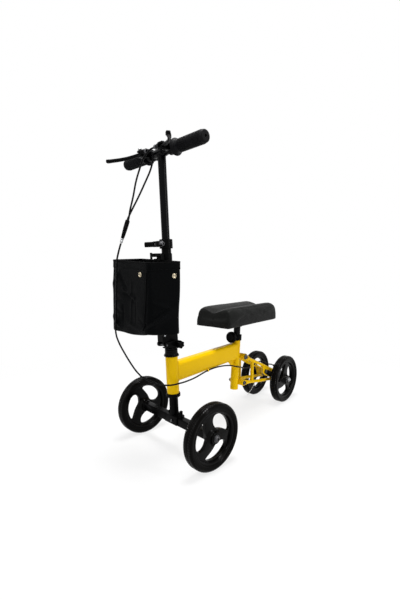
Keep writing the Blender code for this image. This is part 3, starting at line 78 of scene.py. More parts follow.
UPPER_BOLT, LOWER_BOLT, REAR_CENTRE = (0.358, 0.235), (0.351, 0.134), (0.597, 0.09914)
FOLD_PIVOT, FOLD_STOP, CLAMP_BOLT = (0.011, 0.2455), (-0.03, 0.2485), (-0.0245, 0.541)
GROUND = shift(0, -0.273, AXLE_HEIGHT - REAR_CENTRE[1])
HEAD = shift(0, -0.273, AXLE_HEIGHT) @ turn(2.46, "X")
COLUMN = HEAD @ turn(-6.2, "Z")
FRONT_AXLE = shift(0, -0.273, AXLE_HEIGHT) @ turn(-6.2, "Z")
REAR_AXLE = GROUND @ shift(0, *REAR_CENTRE)
SEAT = GROUND @ shift(0, 0.329, 0.15) @ turn(-3.8, "X")
BAR = COLUMN @ shift(0, 0, 0.7867)
ARM = REAR_AXLE @ shift(0, -0.017, 0.044)
PAD = GROUND @ shift(0, 0.3515, 0.372)
print("handlebar stands at z =", round((BAR @ Vector((0, 0, 0))).z, 4))

# %% [markdown]
# The photograph looks down a little from the front right, from about a metre away, with the
# walker standing tall in the frame. A camera in Blender looks along its own -Z, so its matrix
# is built from three directions: right, up, and back towards the camera.

# %% Camera at the photograph's place
PHOTO_HEIGHT, FOCAL_PIXELS, RAISED_PIXELS = 600, 354.1, 25
LOOK_ROUND, LOOK_DOWN, ROLL = 0.708, 0.16, -0.004


def placed(name, data):
    """An object of this data, linked to the scene."""
    made = bpy.data.objects.new(name, data)
    bpy.context.scene.collection.objects.link(made)
    return made


eye = Vector((0.7534, -1.0271, 0.5712))
back = Vector((math.sin(LOOK_ROUND) * math.cos(LOOK_DOWN),
               -math.cos(LOOK_ROUND) * math.cos(LOOK_DOWN), math.sin(LOOK_DOWN)))
right = Vector((math.cos(LOOK_ROUND), math.sin(LOOK_ROUND), 0))
above = back.cross(right)
side = right * math.cos(ROLL) + above * math.sin(ROLL)
up = above * math.cos(ROLL) - right * math.sin(ROLL)
lens = bpy.data.cameras.new("photo_camera")
lens.sensor_width = 36
lens.lens = FOCAL_PIXELS / PHOTO_HEIGHT * lens.sensor_width
lens.shift_y = RAISED_PIXELS / PHOTO_HEIGHT
lens.clip_start = 0.02
camera = placed("photo_camera", lens)
camera.matrix_world = Matrix((
    (side.x, up.x, back.x, eye.x), (side.y, up.y, back.y, eye.y),
    (side.z, up.z, back.z, eye.z), (0, 0, 0, 1)))
bpy.context.scene.camera = camera
print("lens", round(lens.lens, 2), "mm at", tuple(eye))

# %% [markdown]
# A product studio lights black tubes with large soft boxes, because a glossy black shape is
# read only from what it mirrors. One big box stands high at the left of the camera, one hangs
# overhead, a weak one fills from the right, and two thin strips give the crisp glints.

# %% Soft boxes
bpy.context.scene.view_settings.view_transform = "Standard"
middle = Vector((0, 0, 0.42))


def soft_box(name, place, size, power):
    lamp = bpy.data.lights.new(name, "AREA")
    lamp.shape = "RECTANGLE"
    lamp.size, lamp.size_y = size
    lamp.energy = power
    stand = placed(name, lamp)
    stand.location = place
    stand.rotation_euler = (middle - place).to_track_quat("-Z", "Y").to_euler()
    return stand


level = Vector((back.x, back.y, 0)).normalized()
soft_box("key_box", middle + level * 1.5 - right * 1.7 + Vector((0, 0, 1.5)), (0.45, 1.1), 15)
soft_box("top_box", middle + Vector((0.1, -0.1, 2.3)), (0.9, 0.9), 70)
soft_box("fill_box", middle + level * 1.3 + right * 2.0 + Vector((0, 0, 0.5)), (0.3, 1.2), 11)
soft_box("strip_left", middle + level * 1.9 - right * 0.9 + Vector((0, 0, 1.9)), (0.04, 1.2), 14)
soft_box("strip_right", middle + level * 1.2 + right * 1.6 + Vector((0, 0, 1.6)), (0.04, 1.0), 9)

# %% [markdown]
# A material in Blender is a small network of nodes, and each node needs the same three lines:
# add it, set it, wire it. The helper below does that in one call. Effects that many finishes
# share, such as paint texture or tinted and highlit edges, become node groups: boxes with named knobs.
# A group only hands out masks and heights. The shader itself stays in each material, where the
# numbers that never change over the surface are set straight on its sockets.

# %% Helpers for shader networks
def wire(tree, kind, inputs=(), family="ShaderNode", **settings):
    """A node with its settings and inputs; an input may be a value or a socket."""
    made = tree.nodes.new(family + kind)
    for setting, value in settings.items():
        setattr(made, setting, value)
    for key, value in dict(inputs).items():
        if isinstance(value, bpy.types.NodeSocket):
            tree.links.new(value, made.inputs[key])
        else:
            made.inputs[key].default_value = value
    return made


def effect(name, knobs, gives):
    """An empty shader group with float knobs, and its input and output nodes."""
    group = bpy.data.node_groups.new(name, "ShaderNodeTree")
    for label, value in knobs:
        kind = "NodeSocketVector" if value is None else "NodeSocketFloat"
        socket = group.interface.new_socket(label, in_out="INPUT", socket_type=kind)
        if value is not None:
            socket.default_value = value
    for label in gives:
        group.interface.new_socket(label, in_out="OUTPUT", socket_type="NodeSocketFloat")
    return group, group.nodes.new("NodeGroupInput").outputs, group.nodes.new("NodeGroupOutput").inputs


def maths(tree, what, a, b=0.0, c=0.0):
    return wire(tree, "Math", {0: a, 1: b, 2: c}, operation=what).outputs[0]


def ranged(tree, value, low, high, **settings):
    """A mask that goes from nought to one while the value goes from low to high."""
    inputs = {"Value": value, "From Min": low, "From Max": high}
    return wire(tree, "MapRange", inputs, **settings).outputs[0]


def looked_at(tree):
    """One where the camera, a reflection or a clear view looks, nought for the light given off."""
    rays = wire(tree, "LightPath").outputs
    straight = maths(tree, "MAXIMUM", rays["Is Camera Ray"], rays["Is Transmission Ray"])
    return maths(tree, "MAXIMUM", straight, rays["Is Glossy Ray"])


print("maths, masks and ranges can be wired in one line each")

# %% [markdown]
# The surroundings are a mid white for the light they give, and full white where the camera or a
# reflection looks at them. That keeps the background white without flooding the walker.

# %% White surroundings
world = bpy.data.worlds.new("white_room")
bpy.context.scene.world = world
world.use_nodes = True
sky = world.node_tree
sky.nodes.clear()
strength = wire(sky, "MapRange", {"Value": looked_at(sky), "To Min": 0.37, "To Max": 1.0})
glow = wire(sky, "Background", {"Color": (1, 1, 1, 1), "Strength": strength.outputs["Result"]})
wire(sky, "OutputWorld", {"Surface": glow.outputs[0]})
print("surroundings are white")


# %% [markdown]
# Real surfaces are never one even tone. `patchy_tone` is a slow cloud that makes a colour drift
# a little, `fine_grain` is the fine pebble of moulded plastic or rubber, `paint_peel` is the
# faint orange peel that sprayed paint dries with, and `hairlines` are the fine marks that
# handling leaves on metal. All read Object coordinates, which are metres on these pieces.

# %% Groups for tone, grain, paint peel and hairlines
def surface_noise(name, knobs, stretch=(1, 1, 1), detail=4.0, contrast=(0.0, 1.0)):
    group, inn, out = effect(name, knobs, ["Mask"])
    where = wire(group, "TexCoord").outputs["Object"]
    if stretch != (1, 1, 1):
        where = wire(group, "Mapping", {"Vector": where, "Scale": stretch}).outputs[0]
    cloud = wire(group, "TexNoise", {"Vector": where, "Scale": inn["Size"], "Detail": detail})
    spread = ranged(group, cloud.outputs[0], *contrast)
    group.links.new(maths(group, "MULTIPLY", spread, inn["Amount"]), out["Mask"])
    return group


patchy_tone = surface_noise("patchy_tone", [("Size", 14.0), ("Amount", 1.0)], detail=3.0,
    contrast=(0.3, 0.7))
fine_grain = surface_noise("fine_grain", [("Size", 900.0), ("Amount", 1.0)], detail=5.0,
    contrast=(0.3, 0.7))
paint_peel = surface_noise("paint_peel", [("Size", 260.0), ("Amount", 1.0)], detail=1.0)
hairlines = surface_noise("hairlines", [("Size", 320.0), ("Amount", 1.0)], (0.12, 1, 1), 6.0, (0.35, 0.75))
print("noise groups:", [g.name for g in (patchy_tone, fine_grain, paint_peel, hairlines)])

# %% [markdown]
# Edges get a colour of their own and dust settles on what faces up. On the black finishes that
# edge colour is a painted highlight. The Bevel node gives the normal that a softened edge would
# have, so where it differs from the true normal there is an edge.
# Dust simply asks how far the surface faces upwards, and a noise breaks both masks up.

# %% Groups for tinted and highlit edges and settled dust
# An edge mask: on the black finishes the colour it carries is a painted highlight.
rubbed_edges, inn, out = effect("rubbed_edges", [("Width", 0.0012), ("Amount", 1.0)], ["Mask"])
softened = wire(rubbed_edges, "Bevel", {"Radius": inn["Width"]}, samples=4)
true_normal = wire(rubbed_edges, "NewGeometry").outputs["Normal"]
agree = wire(rubbed_edges, "VectorMath", {0: softened.outputs[0], 1: true_normal}, operation="DOT_PRODUCT")
edge = ranged(rubbed_edges, agree.outputs["Value"], 0.985, 0.86)
where = wire(rubbed_edges, "TexCoord").outputs["Object"]
broken = wire(rubbed_edges, "TexNoise", {"Vector": where, "Scale": 160.0, "Detail": 5.0})
bits = ranged(rubbed_edges, broken.outputs[0], 0.42, 0.62)
tinted_edge = maths(rubbed_edges, "MULTIPLY", edge, bits)
rubbed_edges.links.new(maths(rubbed_edges, "MULTIPLY", tinted_edge, inn["Amount"]), out["Mask"])

settled_dust, inn, out = effect("settled_dust", [("Amount", 0.2)], ["Mask"])
faces = wire(settled_dust, "SeparateXYZ", {0: wire(settled_dust, "NewGeometry").outputs["Normal"]})
upward = ranged(settled_dust, faces.outputs["Z"], 0.25, 1.0)
where = wire(settled_dust, "TexCoord").outputs["Object"]
specks = wire(settled_dust, "TexNoise", {"Vector": where, "Scale": 55.0, "Detail": 8.0})
lying = maths(settled_dust, "MULTIPLY", upward, specks.outputs[0])
settled_dust.links.new(maths(settled_dust, "MULTIPLY", lying, inn["Amount"]), out["Mask"])
print("edge and dust groups ready")

# %% [markdown]
# Two groups follow the cloth itself. `cloth_weave` crosses two sets of threads on the piece's own
# UV map, which is laid out in metres, so the threads keep their size round every corner, and marks
# the threads that lie on top, which the finish paints lighter as a painted sheen. `leather_grain` is
# the pebbled cover of the knee pad: cells of a Voronoi pattern with soft valleys between them, seen
# as a bump and as painted shade that darkens the valleys.

# %% Groups for weave and leather grain, with painted sheen and painted shade
cloth_weave, inn, out = effect("cloth_weave", [("Vector", None), ("Threads", 900.0)], ["Height", "Mask"])
parted = wire(cloth_weave, "SeparateXYZ", {0: inn["Vector"]})
across = maths(cloth_weave, "MULTIPLY", parted.outputs["X"], inn["Threads"])
along = maths(cloth_weave, "MULTIPLY", parted.outputs["Y"], inn["Threads"])
ridges = [maths(cloth_weave, "ABSOLUTE", maths(cloth_weave, "SINE",
    maths(cloth_weave, "MULTIPLY", way, math.pi))) for way in (across, along)]
cell = maths(cloth_weave, "ADD", maths(cloth_weave, "FLOOR", across), maths(cloth_weave, "FLOOR", along))
over = maths(cloth_weave, "PINGPONG", cell, 1.0)
height = wire(cloth_weave, "Mix", {"Factor": over, 2: ridges[0], 3: ridges[1]})
cloth_weave.links.new(height.outputs[0], out["Height"])
# The mask picks the threads that lie on top, which the finish paints lighter as a painted sheen.
cloth_weave.links.new(over, out["Mask"])

leather_grain, inn, out = effect("leather_grain", [("Cells", 620.0)], ["Height", "Mask"])
where = wire(leather_grain, "TexCoord").outputs["Object"]
bent = wire(leather_grain, "TexNoise", {"Vector": where, "Scale": 300.0})
bent = wire(leather_grain, "VectorMath", {0: bent.outputs["Color"], 1: (0.0012, 0.0012, 0.0012)},
    operation="MULTIPLY")
moved = wire(leather_grain, "VectorMath", {0: where, 1: bent.outputs[0]}, operation="ADD")
cells = wire(leather_grain, "TexVoronoi", {"Vector": moved.outputs[0], "Scale": inn["Cells"]},
    feature="DISTANCE_TO_EDGE")
pebble = ranged(leather_grain, cells.outputs["Distance"], 0.0, 0.22, interpolation_type="SMOOTHSTEP")
leather_grain.links.new(pebble, out["Height"])
# This mask darkens the valleys between the cells: a painted shade.
shade = ranged(leather_grain, cells.outputs["Distance"], 0.0, 0.08)
leather_grain.links.new(shade, out["Mask"])
print("cloth groups ready")

# %% [markdown]
# One recipe makes nearly every finish of the walker: a base colour that drifts, its own colour on
# the edges (a painted highlight on the blacks), a little dust, a gloss that changes with them, and a
# height that feeds one Bump node.
# Only the numbers differ from paint to rubber to steel. Metals get hairlines, mouldings get grain.

# %% The recipe for a finish
FINISH = {}


def use_group(tree, group, **knobs):
    return wire(tree, "Group", knobs, node_tree=group).outputs


def blend_colour(tree, mask, a, b):
    both = {"Factor": mask, 6: a, 7: b}
    return wire(tree, "Mix", both, data_type="RGBA").outputs[2]


def make_finish(name, colour, rough, metal=0.0, shine=0.5, drift=0.25, coat=0.0, grain=None,
                edge_tint=None, dust=0.12, bump=0.2, lift=0.0004, weave=None, leather=None):
    """A procedural finish. grain is (group, size); worn is (colour, width, amount)."""
    made = bpy.data.materials.new(name)
    made.use_nodes = True
    tree = made.node_tree
    shader = tree.nodes["Principled BSDF"]
    for socket, value in (("Metallic", metal), ("Specular IOR Level", shine), ("Coat Weight", coat),
                          ("Coat Roughness", 0.06)):
        shader.inputs[socket].default_value = value
    tone = use_group(tree, patchy_tone, Size=14.0, Amount=drift)["Mask"]
    darker = [c * 0.6 for c in colour]
    look = blend_colour(tree, tone, (*colour, 1), (*darker, 1))
    gloss = maths(tree, "MULTIPLY_ADD", tone, 0.25, rough)
    if leather:
        skin = use_group(tree, leather_grain, Cells=leather)
        # Leather: the valleys between the grain cells are darkened, a painted shade.
        look = blend_colour(tree, skin["Mask"], (*[c * 0.55 for c in colour], 1), look)
        relief = skin["Height"]
    elif weave:
        threads = use_group(tree, cloth_weave, Vector=wire(tree, "UVMap").outputs[0], Threads=weave)
        # Weave: the threads that lie on top are painted lighter, a painted sheen.
        look = blend_colour(tree, maths(tree, "MULTIPLY", threads["Mask"], 0.45), look,
            (*[c * 1.9 for c in colour], 1))
        relief = threads["Height"]
    else:
        relief = use_group(tree, grain[0], Size=grain[1], Amount=1.0)["Mask"]
        gloss = maths(tree, "MULTIPLY_ADD", relief, 0.08, gloss)
    # Edge colour: a painted highlight on the black finishes, a darker ochre on yellow, a lighter grey on
    # dark steel.
    if edge_tint:
        mask = use_group(tree, rubbed_edges, Width=edge_tint[1], Amount=edge_tint[2])["Mask"]
        look = blend_colour(tree, mask, look, (*edge_tint[0], 1))
        gloss = maths(tree, "MULTIPLY_ADD", mask, 0.12, gloss)
    if dust:
        mask = use_group(tree, settled_dust, Amount=dust)["Mask"]
        look = blend_colour(tree, mask, look, (0.3, 0.29, 0.27, 1))
        gloss = maths(tree, "MULTIPLY_ADD", mask, 0.5, gloss)
    tree.links.new(look, shader.inputs["Base Color"])
    tree.links.new(gloss, shader.inputs["Roughness"])
    relief = wire(tree, "Bump", {"Strength": bump, "Distance": lift, "Height": relief})
    tree.links.new(relief.outputs[0], shader.inputs["Normal"])
    FINISH[name] = made


print("a finish can use", len(bpy.data.node_groups), "shader groups")

# %% [markdown]
# The colours come from the photograph: a warm enamel yellow that goes ochre in the shade, blacks
# that differ mostly in gloss, and small bright fittings. Glossy blacks are nearly black in
# colour; apart from a painted highlight on their edges, everything seen on them is reflection.

# %% The walker's own finishes
# The grey edge colour given to the black finishes is a painted highlight.
painted_edge_highlight = ((0.03, 0.03, 0.03), 0.001, 0.3)
make_finish("yellow_enamel", (0.76, 0.468, 0.001), 0.24, shine=0.06, drift=0.08,
            grain=(paint_peel, 260.0), edge_tint=((0.5, 0.26, 0.004), 0.0008, 0.35), dust=0.015, bump=0.08)
make_finish("gloss_black_tube", (0.0016, 0.0016, 0.002), 0.09, shine=0.07, drift=0.2,
            grain=(paint_peel, 300.0), edge_tint=painted_edge_highlight, dust=0.006, bump=0.05)
make_finish("satin_black_paint", (0.0012, 0.0012, 0.0013), 0.2, shine=0.04, drift=0.3,
            grain=(paint_peel, 420.0), edge_tint=painted_edge_highlight, dust=0.003, bump=0.1)
make_finish("moulded_black", (0.0012, 0.0012, 0.0014), 0.28, shine=0.035, drift=0.25,
            grain=(fine_grain, 1500.0), edge_tint=painted_edge_highlight, dust=0.003, bump=0.14)
make_finish("rim_black", (0.0015, 0.0014, 0.0013), 0.13, shine=0.06, drift=0.2,
            grain=(fine_grain, 700.0), edge_tint=painted_edge_highlight, dust=0.006, bump=0.05)
make_finish("tyre_rubber", (0.0015, 0.0013, 0.0011), 0.16, shine=0.025, drift=0.4, coat=0.03,
            grain=(fine_grain, 1100.0), dust=0.003, bump=0.1)
make_finish("tread_rubber", (0.0015, 0.0013, 0.0011), 0.1, shine=0.06, drift=0.4, coat=0.24,
            grain=(fine_grain, 1100.0), dust=0.004, bump=0.06)
make_finish("grip_rubber", (0.003, 0.003, 0.0038), 0.4, shine=0.07, drift=0.3,
            grain=(fine_grain, 1600.0), dust=0.015, bump=0.3)
make_finish("bag_cloth", (0.0013, 0.0015, 0.0017), 0.36, shine=0.018, drift=0.5, dust=0.001,
            weave=1300.0, bump=0.3, lift=0.0003)
make_finish("bag_binding", (0.0011, 0.0011, 0.0013), 0.55, shine=0.03, drift=0.2, dust=0.001,
            weave=900.0, bump=0.5, lift=0.0004)
make_finish("thread", (0.0085, 0.0085, 0.0095), 0.7, shine=0.06, grain=(fine_grain, 3000.0), dust=0.0,
    bump=0.4)
make_finish("pad_cover", (0.0066, 0.007, 0.0066), 0.44, shine=0.07, drift=0.25, dust=0.006,
            leather=620.0, bump=0.28, lift=0.0004)
make_finish("cable_housing", (0.0016, 0.0016, 0.0018), 0.22, shine=0.06, drift=0.2,
            grain=(fine_grain, 900.0), dust=0.006, bump=0.1)
make_finish("bright_steel", (0.4, 0.41, 0.42), 0.24, metal=1.0, drift=0.35,
            grain=(hairlines, 320.0), dust=0.02, bump=0.06)
make_finish("dark_steel", (0.08, 0.08, 0.084), 0.28, metal=1.0, drift=0.3,
            grain=(hairlines, 260.0), edge_tint=((0.2, 0.2, 0.2), 0.0007, 0.5), dust=0.01, bump=0.08)
make_finish("old_brass", (0.52, 0.45, 0.32), 0.3, metal=1.0, drift=0.4,
            grain=(hairlines, 400.0), dust=0.02, bump=0.08)
BY_SLOT = {"yellow_paint": "yellow_enamel", "black_paint": "satin_black_paint",
           "black_plastic": "moulded_black", "gloss_rim": "rim_black", "tyre": "tyre_rubber",
           "grip_rubber": "grip_rubber", "bag_nylon": "bag_cloth", "pad_vinyl": "pad_cover",
           "bright_steel": "bright_steel", "dark_steel": "dark_steel", "brass": "old_brass"}
slot_of = {row["node"]: row["material_slot"] for row in frame["record"]["subparts"]}
for node, shape in frame["nodes"].items():
    for n in range(max(1, len(shape.material_slots))):
        if not shape.material_slots:
            shape.data.materials.append(None)
        shape.material_slots[n].material = FINISH[BY_SLOT[slot_of[node]]]
print(len(FINISH), "finishes,", len(frame["nodes"]), "frame pieces painted")

# %% [markdown]
# The floor is one large pale sheet. It keeps the walker's soft shadow, but most of what the
# camera sees of it is plain white, so floor and surroundings run together as in a studio with
# a swept paper background. Far from the walker the share of plain white grows to all of it.

# %% A pale floor
sheet_of_paper = bpy.data.meshes.new("studio_floor")
FLOOR_HALF = 30
floor_corners = [(sx * FLOOR_HALF, sy * FLOOR_HALF, 0) for sx, sy in ((-1, -1), (1, -1), (1, 1), (-1, 1))]
sheet_of_paper.from_pydata(floor_corners, [], [(0, 1, 2, 3)])
floor = placed("studio_floor", sheet_of_paper)
paper = bpy.data.materials.new("paper")
paper.use_nodes = True
tree = paper.node_tree
lit = tree.nodes["Principled BSDF"]
lit.inputs["Roughness"].default_value = 0.9
lit.inputs["Specular IOR Level"].default_value = 0.1
place = wire(tree, "TexCoord").outputs["Object"]
speck = wire(tree, "TexNoise", {"Vector": place, "Scale": 3.0, "Detail": 4.0})
tree.links.new(blend_colour(tree, speck.outputs[0], (0.8, 0.8, 0.8, 1), (0.84, 0.84, 0.84, 1)),
    lit.inputs["Base Color"])
plain = wire(tree, "Emission", {"Color": (1, 1, 1, 1), "Strength": 1.0})
away = wire(tree, "VectorMath", {0: place}, operation="LENGTH")
share = wire(tree, "MapRange", {"Value": away.outputs["Value"], "From Min": 0.45, "From Max": 1.5,
    "To Min": 0.76, "To Max": 1.0})
white = maths(tree, "MULTIPLY", share.outputs[0], looked_at(tree))
both = wire(tree, "MixShader", {0: white, 1: lit.outputs[0], 2: plain.outputs[0]})
tree.links.new(both.outputs[0], tree.nodes["Material Output"].inputs["Surface"])
sheet_of_paper.materials.append(paper)
print("floor is", 2 * FLOOR_HALF, "m across")

# %% [markdown]
# Most fittings on this walker were turned on a lathe or cut from plate, so two small helpers
# carry most of the lesson. `eased` turns sharp corners of a drawn line into small arcs, because
# no real edge is sharp. `lathe` spins such a line round an axis. A radius may also be a function
# of the angle, which gives hexagons, lobed knobs and sockets from the same helper.

# %% Drawing and turning
def eased(corners, steps=4, closed=False):
    """Corners (x, y) or (x, y, ease); an eased corner becomes a small arc."""
    line = []
    for n, corner in enumerate(corners):
        here = Vector(corner[:2])
        ease = corner[2] if len(corner) > 2 else 0.0
        if not ease or (not closed and n in (0, len(corners) - 1)):
            line.append(here)
            continue
        before = Vector(corners[n - 1][:2]) - here
        after = Vector(corners[(n + 1) % len(corners)][:2]) - here
        first = here + before.normalized() * min(ease, before.length * 0.49)
        last = here + after.normalized() * min(ease, after.length * 0.49)
        for k in range(steps + 1):
            t = k / steps
            line.append(first * (1 - t) ** 2 + here * 2 * t * (1 - t) + last * t * t)
    return line


UNMOVED = Matrix.Identity(4)
TO_AXIS = {"Z": UNMOVED, "X": turn(90, "Y"), "Y": turn(-90, "X")}


def solid_mesh(shape, place=None):
    """A bmesh made into a mesh with its faces outwards, carried to its place."""
    bmesh.ops.remove_doubles(shape, verts=shape.verts, dist=1e-6)
    bmesh.ops.recalc_face_normals(shape, faces=shape.faces)
    mesh = bpy.data.meshes.new("shape")
    shape.to_mesh(mesh)
    shape.free()
    if place is not None:
        mesh.transform(place)
    return mesh


def lathe(profile, axis="Z", place=None, steps=64, closed=False):
    """A line of (radius, height) turned about an axis; a radius may be a function of the angle."""
    shape = bmesh.new()
    rings = []
    for radius, height in profile:
        if not callable(radius) and radius == 0:
            rings.append([shape.verts.new((0, 0, height))] * steps)
            continue
        ring = []
        for n in range(steps):
            t = 2 * math.pi * n / steps
            r = radius(t) if callable(radius) else radius
            ring.append(shape.verts.new((r * math.cos(t), r * math.sin(t), height)))
        rings.append(ring)
    pairs = list(zip(rings, rings[1:])) + ([(rings[-1], rings[0])] if closed else [])
    for low, high in pairs:
        for n in range(steps):
            m = (n + 1) % steps
            corners = []
            for v in (low[n], low[m], high[m], high[n]):
                if v not in corners:
                    corners.append(v)
            if len(corners) > 2:
                shape.faces.new(corners)
    return solid_mesh(shape, (place or UNMOVED) @ TO_AXIS[axis])


def turned_ring(corners, axis="Z", place=None, steps=64):
    """A closed section with eased corners turned about an axis, with no core."""
    return lathe(eased(corners, closed=True), axis, place, steps, True)


def hexagon(flat, cap=9.0, phase=0.0):
    """The reach of a hexagon with this half width, cut off at a cap radius."""
    def reach(t):
        part = (t + phase) % (math.pi / 3) - math.pi / 6
        return min(flat / math.cos(part), cap)
    return reach


print("easing a corner gives", len(eased([(0, 0), (1, 0, 0.2), (1, 1)])), "points")

# %% [markdown]
# Plates are drawn as flat outlines. A 2D curve in Blender fills its outline, keeps inner loops
# as holes, and can give the sheet its thickness and a rounded rim in one go. The outline helpers
# draw the two shapes that steel straps come in: a link with two round ends, and a ribbon.

# %% Cutting plates
def as_mesh(piece):
    """What an object's modifiers or curve make, as a plain mesh."""
    bpy.context.view_layer.update()
    return bpy.data.meshes.new_from_object(piece.evaluated_get(bpy.context.evaluated_depsgraph_get()))


def flat_plate(outlines, thickness, edge=0.0006, plane="YZ", offset=0.0, place=None, steps=2):
    """Outlines (the first is the rim, the others are holes) made a plate with eased edges."""
    drawing = bpy.data.curves.new("outline", "CURVE")
    drawing.dimensions = "2D"
    drawing.fill_mode = "BOTH"
    drawing.extrude = thickness / 2 - edge
    drawing.bevel_depth = edge
    drawing.bevel_resolution = steps
    drawing.offset = -edge
    for outline in outlines:
        spline = drawing.splines.new("POLY")
        spline.points.add(len(outline) - 1)
        for point, corner in zip(spline.points, outline):
            point.co = (corner[0], corner[1], 0, 1)
        spline.use_cyclic_u = True
    holder = placed("outline", drawing)
    mesh = as_mesh(holder)
    bpy.data.objects.remove(holder)
    bpy.data.curves.remove(drawing)
    shape = bmesh.new()
    shape.from_mesh(mesh)
    bpy.data.meshes.remove(mesh)
    lay = {"YZ": Matrix(((0, 0, 1, 0), (1, 0, 0, 0), (0, 1, 0, 0), (0, 0, 0, 1))),
           "XZ": Matrix(((1, 0, 0, 0), (0, 0, -1, 0), (0, 1, 0, 0), (0, 0, 0, 1))),
           "XY": UNMOVED}[plane]
    away = {"YZ": shift(offset, 0, 0), "XZ": shift(0, offset, 0), "XY": shift(0, 0, offset)}[plane]
    return solid_mesh(shape, (place or UNMOVED) @ away @ lay)


def link_outline(start, end, start_radius, end_radius):
    """A flat link with a round end about each of two points."""
    steps = 16
    a, b = Vector(start), Vector(end)
    way = math.atan2(b.y - a.y, b.x - a.x)
    lean = math.asin((start_radius - end_radius) / (b - a).length)
    ends = []
    for n in range(steps + 1):
        t = way - math.pi / 2 + lean + (math.pi - 2 * lean) * n / steps
        ends.append((b.x + end_radius * math.cos(t), b.y + end_radius * math.sin(t)))
    for n in range(steps + 1):
        t = way + math.pi / 2 - lean + (math.pi + 2 * lean) * n / steps
        ends.append((a.x + start_radius * math.cos(t), a.y + start_radius * math.sin(t)))
    return ends


def round_hole(centre, radius, sides=24):
    return [(centre[0] + radius * math.cos(2 * math.pi * n / sides),
             centre[1] + radius * math.sin(2 * math.pi * n / sides)) for n in range(sides)]


def brick(size, centre=(0, 0, 0), edge=0.001, steps=3, place=None):
    """A block with all its edges rounded."""
    shape = bmesh.new()
    bmesh.ops.create_cube(shape, size=1)
    bmesh.ops.scale(shape, vec=size, verts=shape.verts)
    bmesh.ops.bevel(shape, geom=shape.edges[:], offset=edge, segments=steps, affect="EDGES", profile=0.5)
    return solid_mesh(shape, (place or UNMOVED) @ shift(*centre))


print("plate helpers ready")

# %% [markdown]
# Bent bars, levers and cables all follow a line. `smooth_line` runs a smooth curve through a few
# chosen points and spaces new points evenly on it. `sweep` then carries a ring of vertices along
# the line without twisting it, and writes a UV map in metres so a finish can follow the cable.

# %% Following a line
def smooth_line(knots, spacing, closed=False):
    """Even points on a smooth curve through the knots."""
    knots = [Vector(k) for k in knots]
    count, fine = len(knots), []
    for n in range(count if closed else count - 1):
        a, b = knots[n], knots[(n + 1) % count]
        before = knots[n - 1] if n or closed else a
        after = knots[(n + 2) % count] if closed or n + 2 < count else b
        reach = (b - a).length / 3
        fine += interpolate_bezier(a, a + (b - before).normalized() * reach,
                                   b - (after - a).normalized() * reach, b, 24)[:-1]
    fine.append(fine[0] if closed else knots[-1])
    lengths = [0.0]
    for p, q in zip(fine, fine[1:]):
        lengths.append(lengths[-1] + (q - p).length)
    total = max(3, round(lengths[-1] / spacing))
    even, at = [], 0
    for k in range(total if closed else total + 1):
        want = lengths[-1] * k / total
        while at < len(fine) - 2 and lengths[at + 1] < want:
            at += 1
        share = (want - lengths[at]) / max(1e-12, lengths[at + 1] - lengths[at])
        even.append(fine[at].lerp(fine[at + 1], min(1.0, share)))
    return even


def sweep(points, radius, sides=16, place=None, cap=0.25, squash=None):
    """A round bar along points; radius is a number or one for each point; squash flattens it."""
    points = [Vector(p) for p in points]
    radii = radius if isinstance(radius, (list, tuple)) else [radius] * len(points)
    flats = squash or [(1.0, 1.0)] * len(points)
    line = []
    first, last = (points[0] - points[1]).normalized(), (points[-1] - points[-2]).normalized()
    r0, r1 = radii[0] * cap, radii[-1] * cap
    line += [(points[0], radii[0] - r0, flats[0]),
        (points[0] - first * r0 * 0.3, radii[0] - r0 * 0.3, flats[0])]
    line += [(points[0] - first * r0, radii[0], flats[0])]
    line += [(p, r, f) for p, r, f in zip(points, radii, flats)][1:-1]
    line += [(points[-1] - last * r1, radii[-1], flats[-1])]
    line += [(points[-1] - last * r1 * 0.3, radii[-1] - r1 * 0.3, flats[-1]),
        (points[-1], radii[-1] - r1, flats[-1])]
    shape = bmesh.new()
    sheet = shape.loops.layers.uv.new("length")
    ahead = (points[1] - points[0]).normalized()
    side_way = ahead.orthogonal().normalized()
    if abs(ahead.z) < 0.99:
        side_way = ahead.cross(Vector((0, 0, 1))).normalized()
    rings, run, spot = [], [0.0], line[0][0]
    for n, (p, r, f) in enumerate(line):
        run.append(run[-1] + (p - spot).length)
        way = (line[min(n + 1, len(line) - 1)][0] - line[max(n - 1, 0)][0]).normalized()
        side_way = (side_way - way * side_way.dot(way)).normalized()
        up_way = way.cross(side_way)
        ring = []
        for k in range(sides):
            t = 2 * math.pi * k / sides
            ring.append(shape.verts.new(p + side_way * (r * f[0] * math.cos(t)) + up_way
                * (r * f[1] * math.sin(t))))
        rings.append(ring)
        spot = p
    run = run[1:]
    for n in range(len(rings) - 1):
        for k in range(sides):
            m = (k + 1) % sides
            face = shape.faces.new((rings[n][k], rings[n][m], rings[n + 1][m], rings[n + 1][k]))
            around = 2 * math.pi * line[n][1] / sides
            for loop, (u, v) in zip(face.loops, ((k, run[n]), (k + 1, run[n]), (k + 1, run[n + 1]),
                    (k, run[n + 1]))):
                loop[sheet].uv = (u * around, v)
    shape.faces.new(rings[0][::-1])
    shape.faces.new(rings[-1])
    return solid_mesh(shape, place)


print("a metre of cable would be", len(smooth_line([(0, 0, 0), (0, 0.5, 0), (0, 1, 0)], 0.01)), "points")

# %% [markdown]
# A finished piece needs the same few lines each time: an object at the origin, a finish, smooth
# shading that stops at real edges, the body it rides on and the frame pieces it stands for.

# %% Showing a finished piece
def join(*meshes):
    """Several meshes as one."""
    shape = bmesh.new()
    for mesh in meshes:
        shape.from_mesh(mesh)
        bpy.data.meshes.remove(mesh)
    mesh = bpy.data.meshes.new("joined")
    shape.to_mesh(mesh)
    shape.free()
    return mesh


made_pieces = []


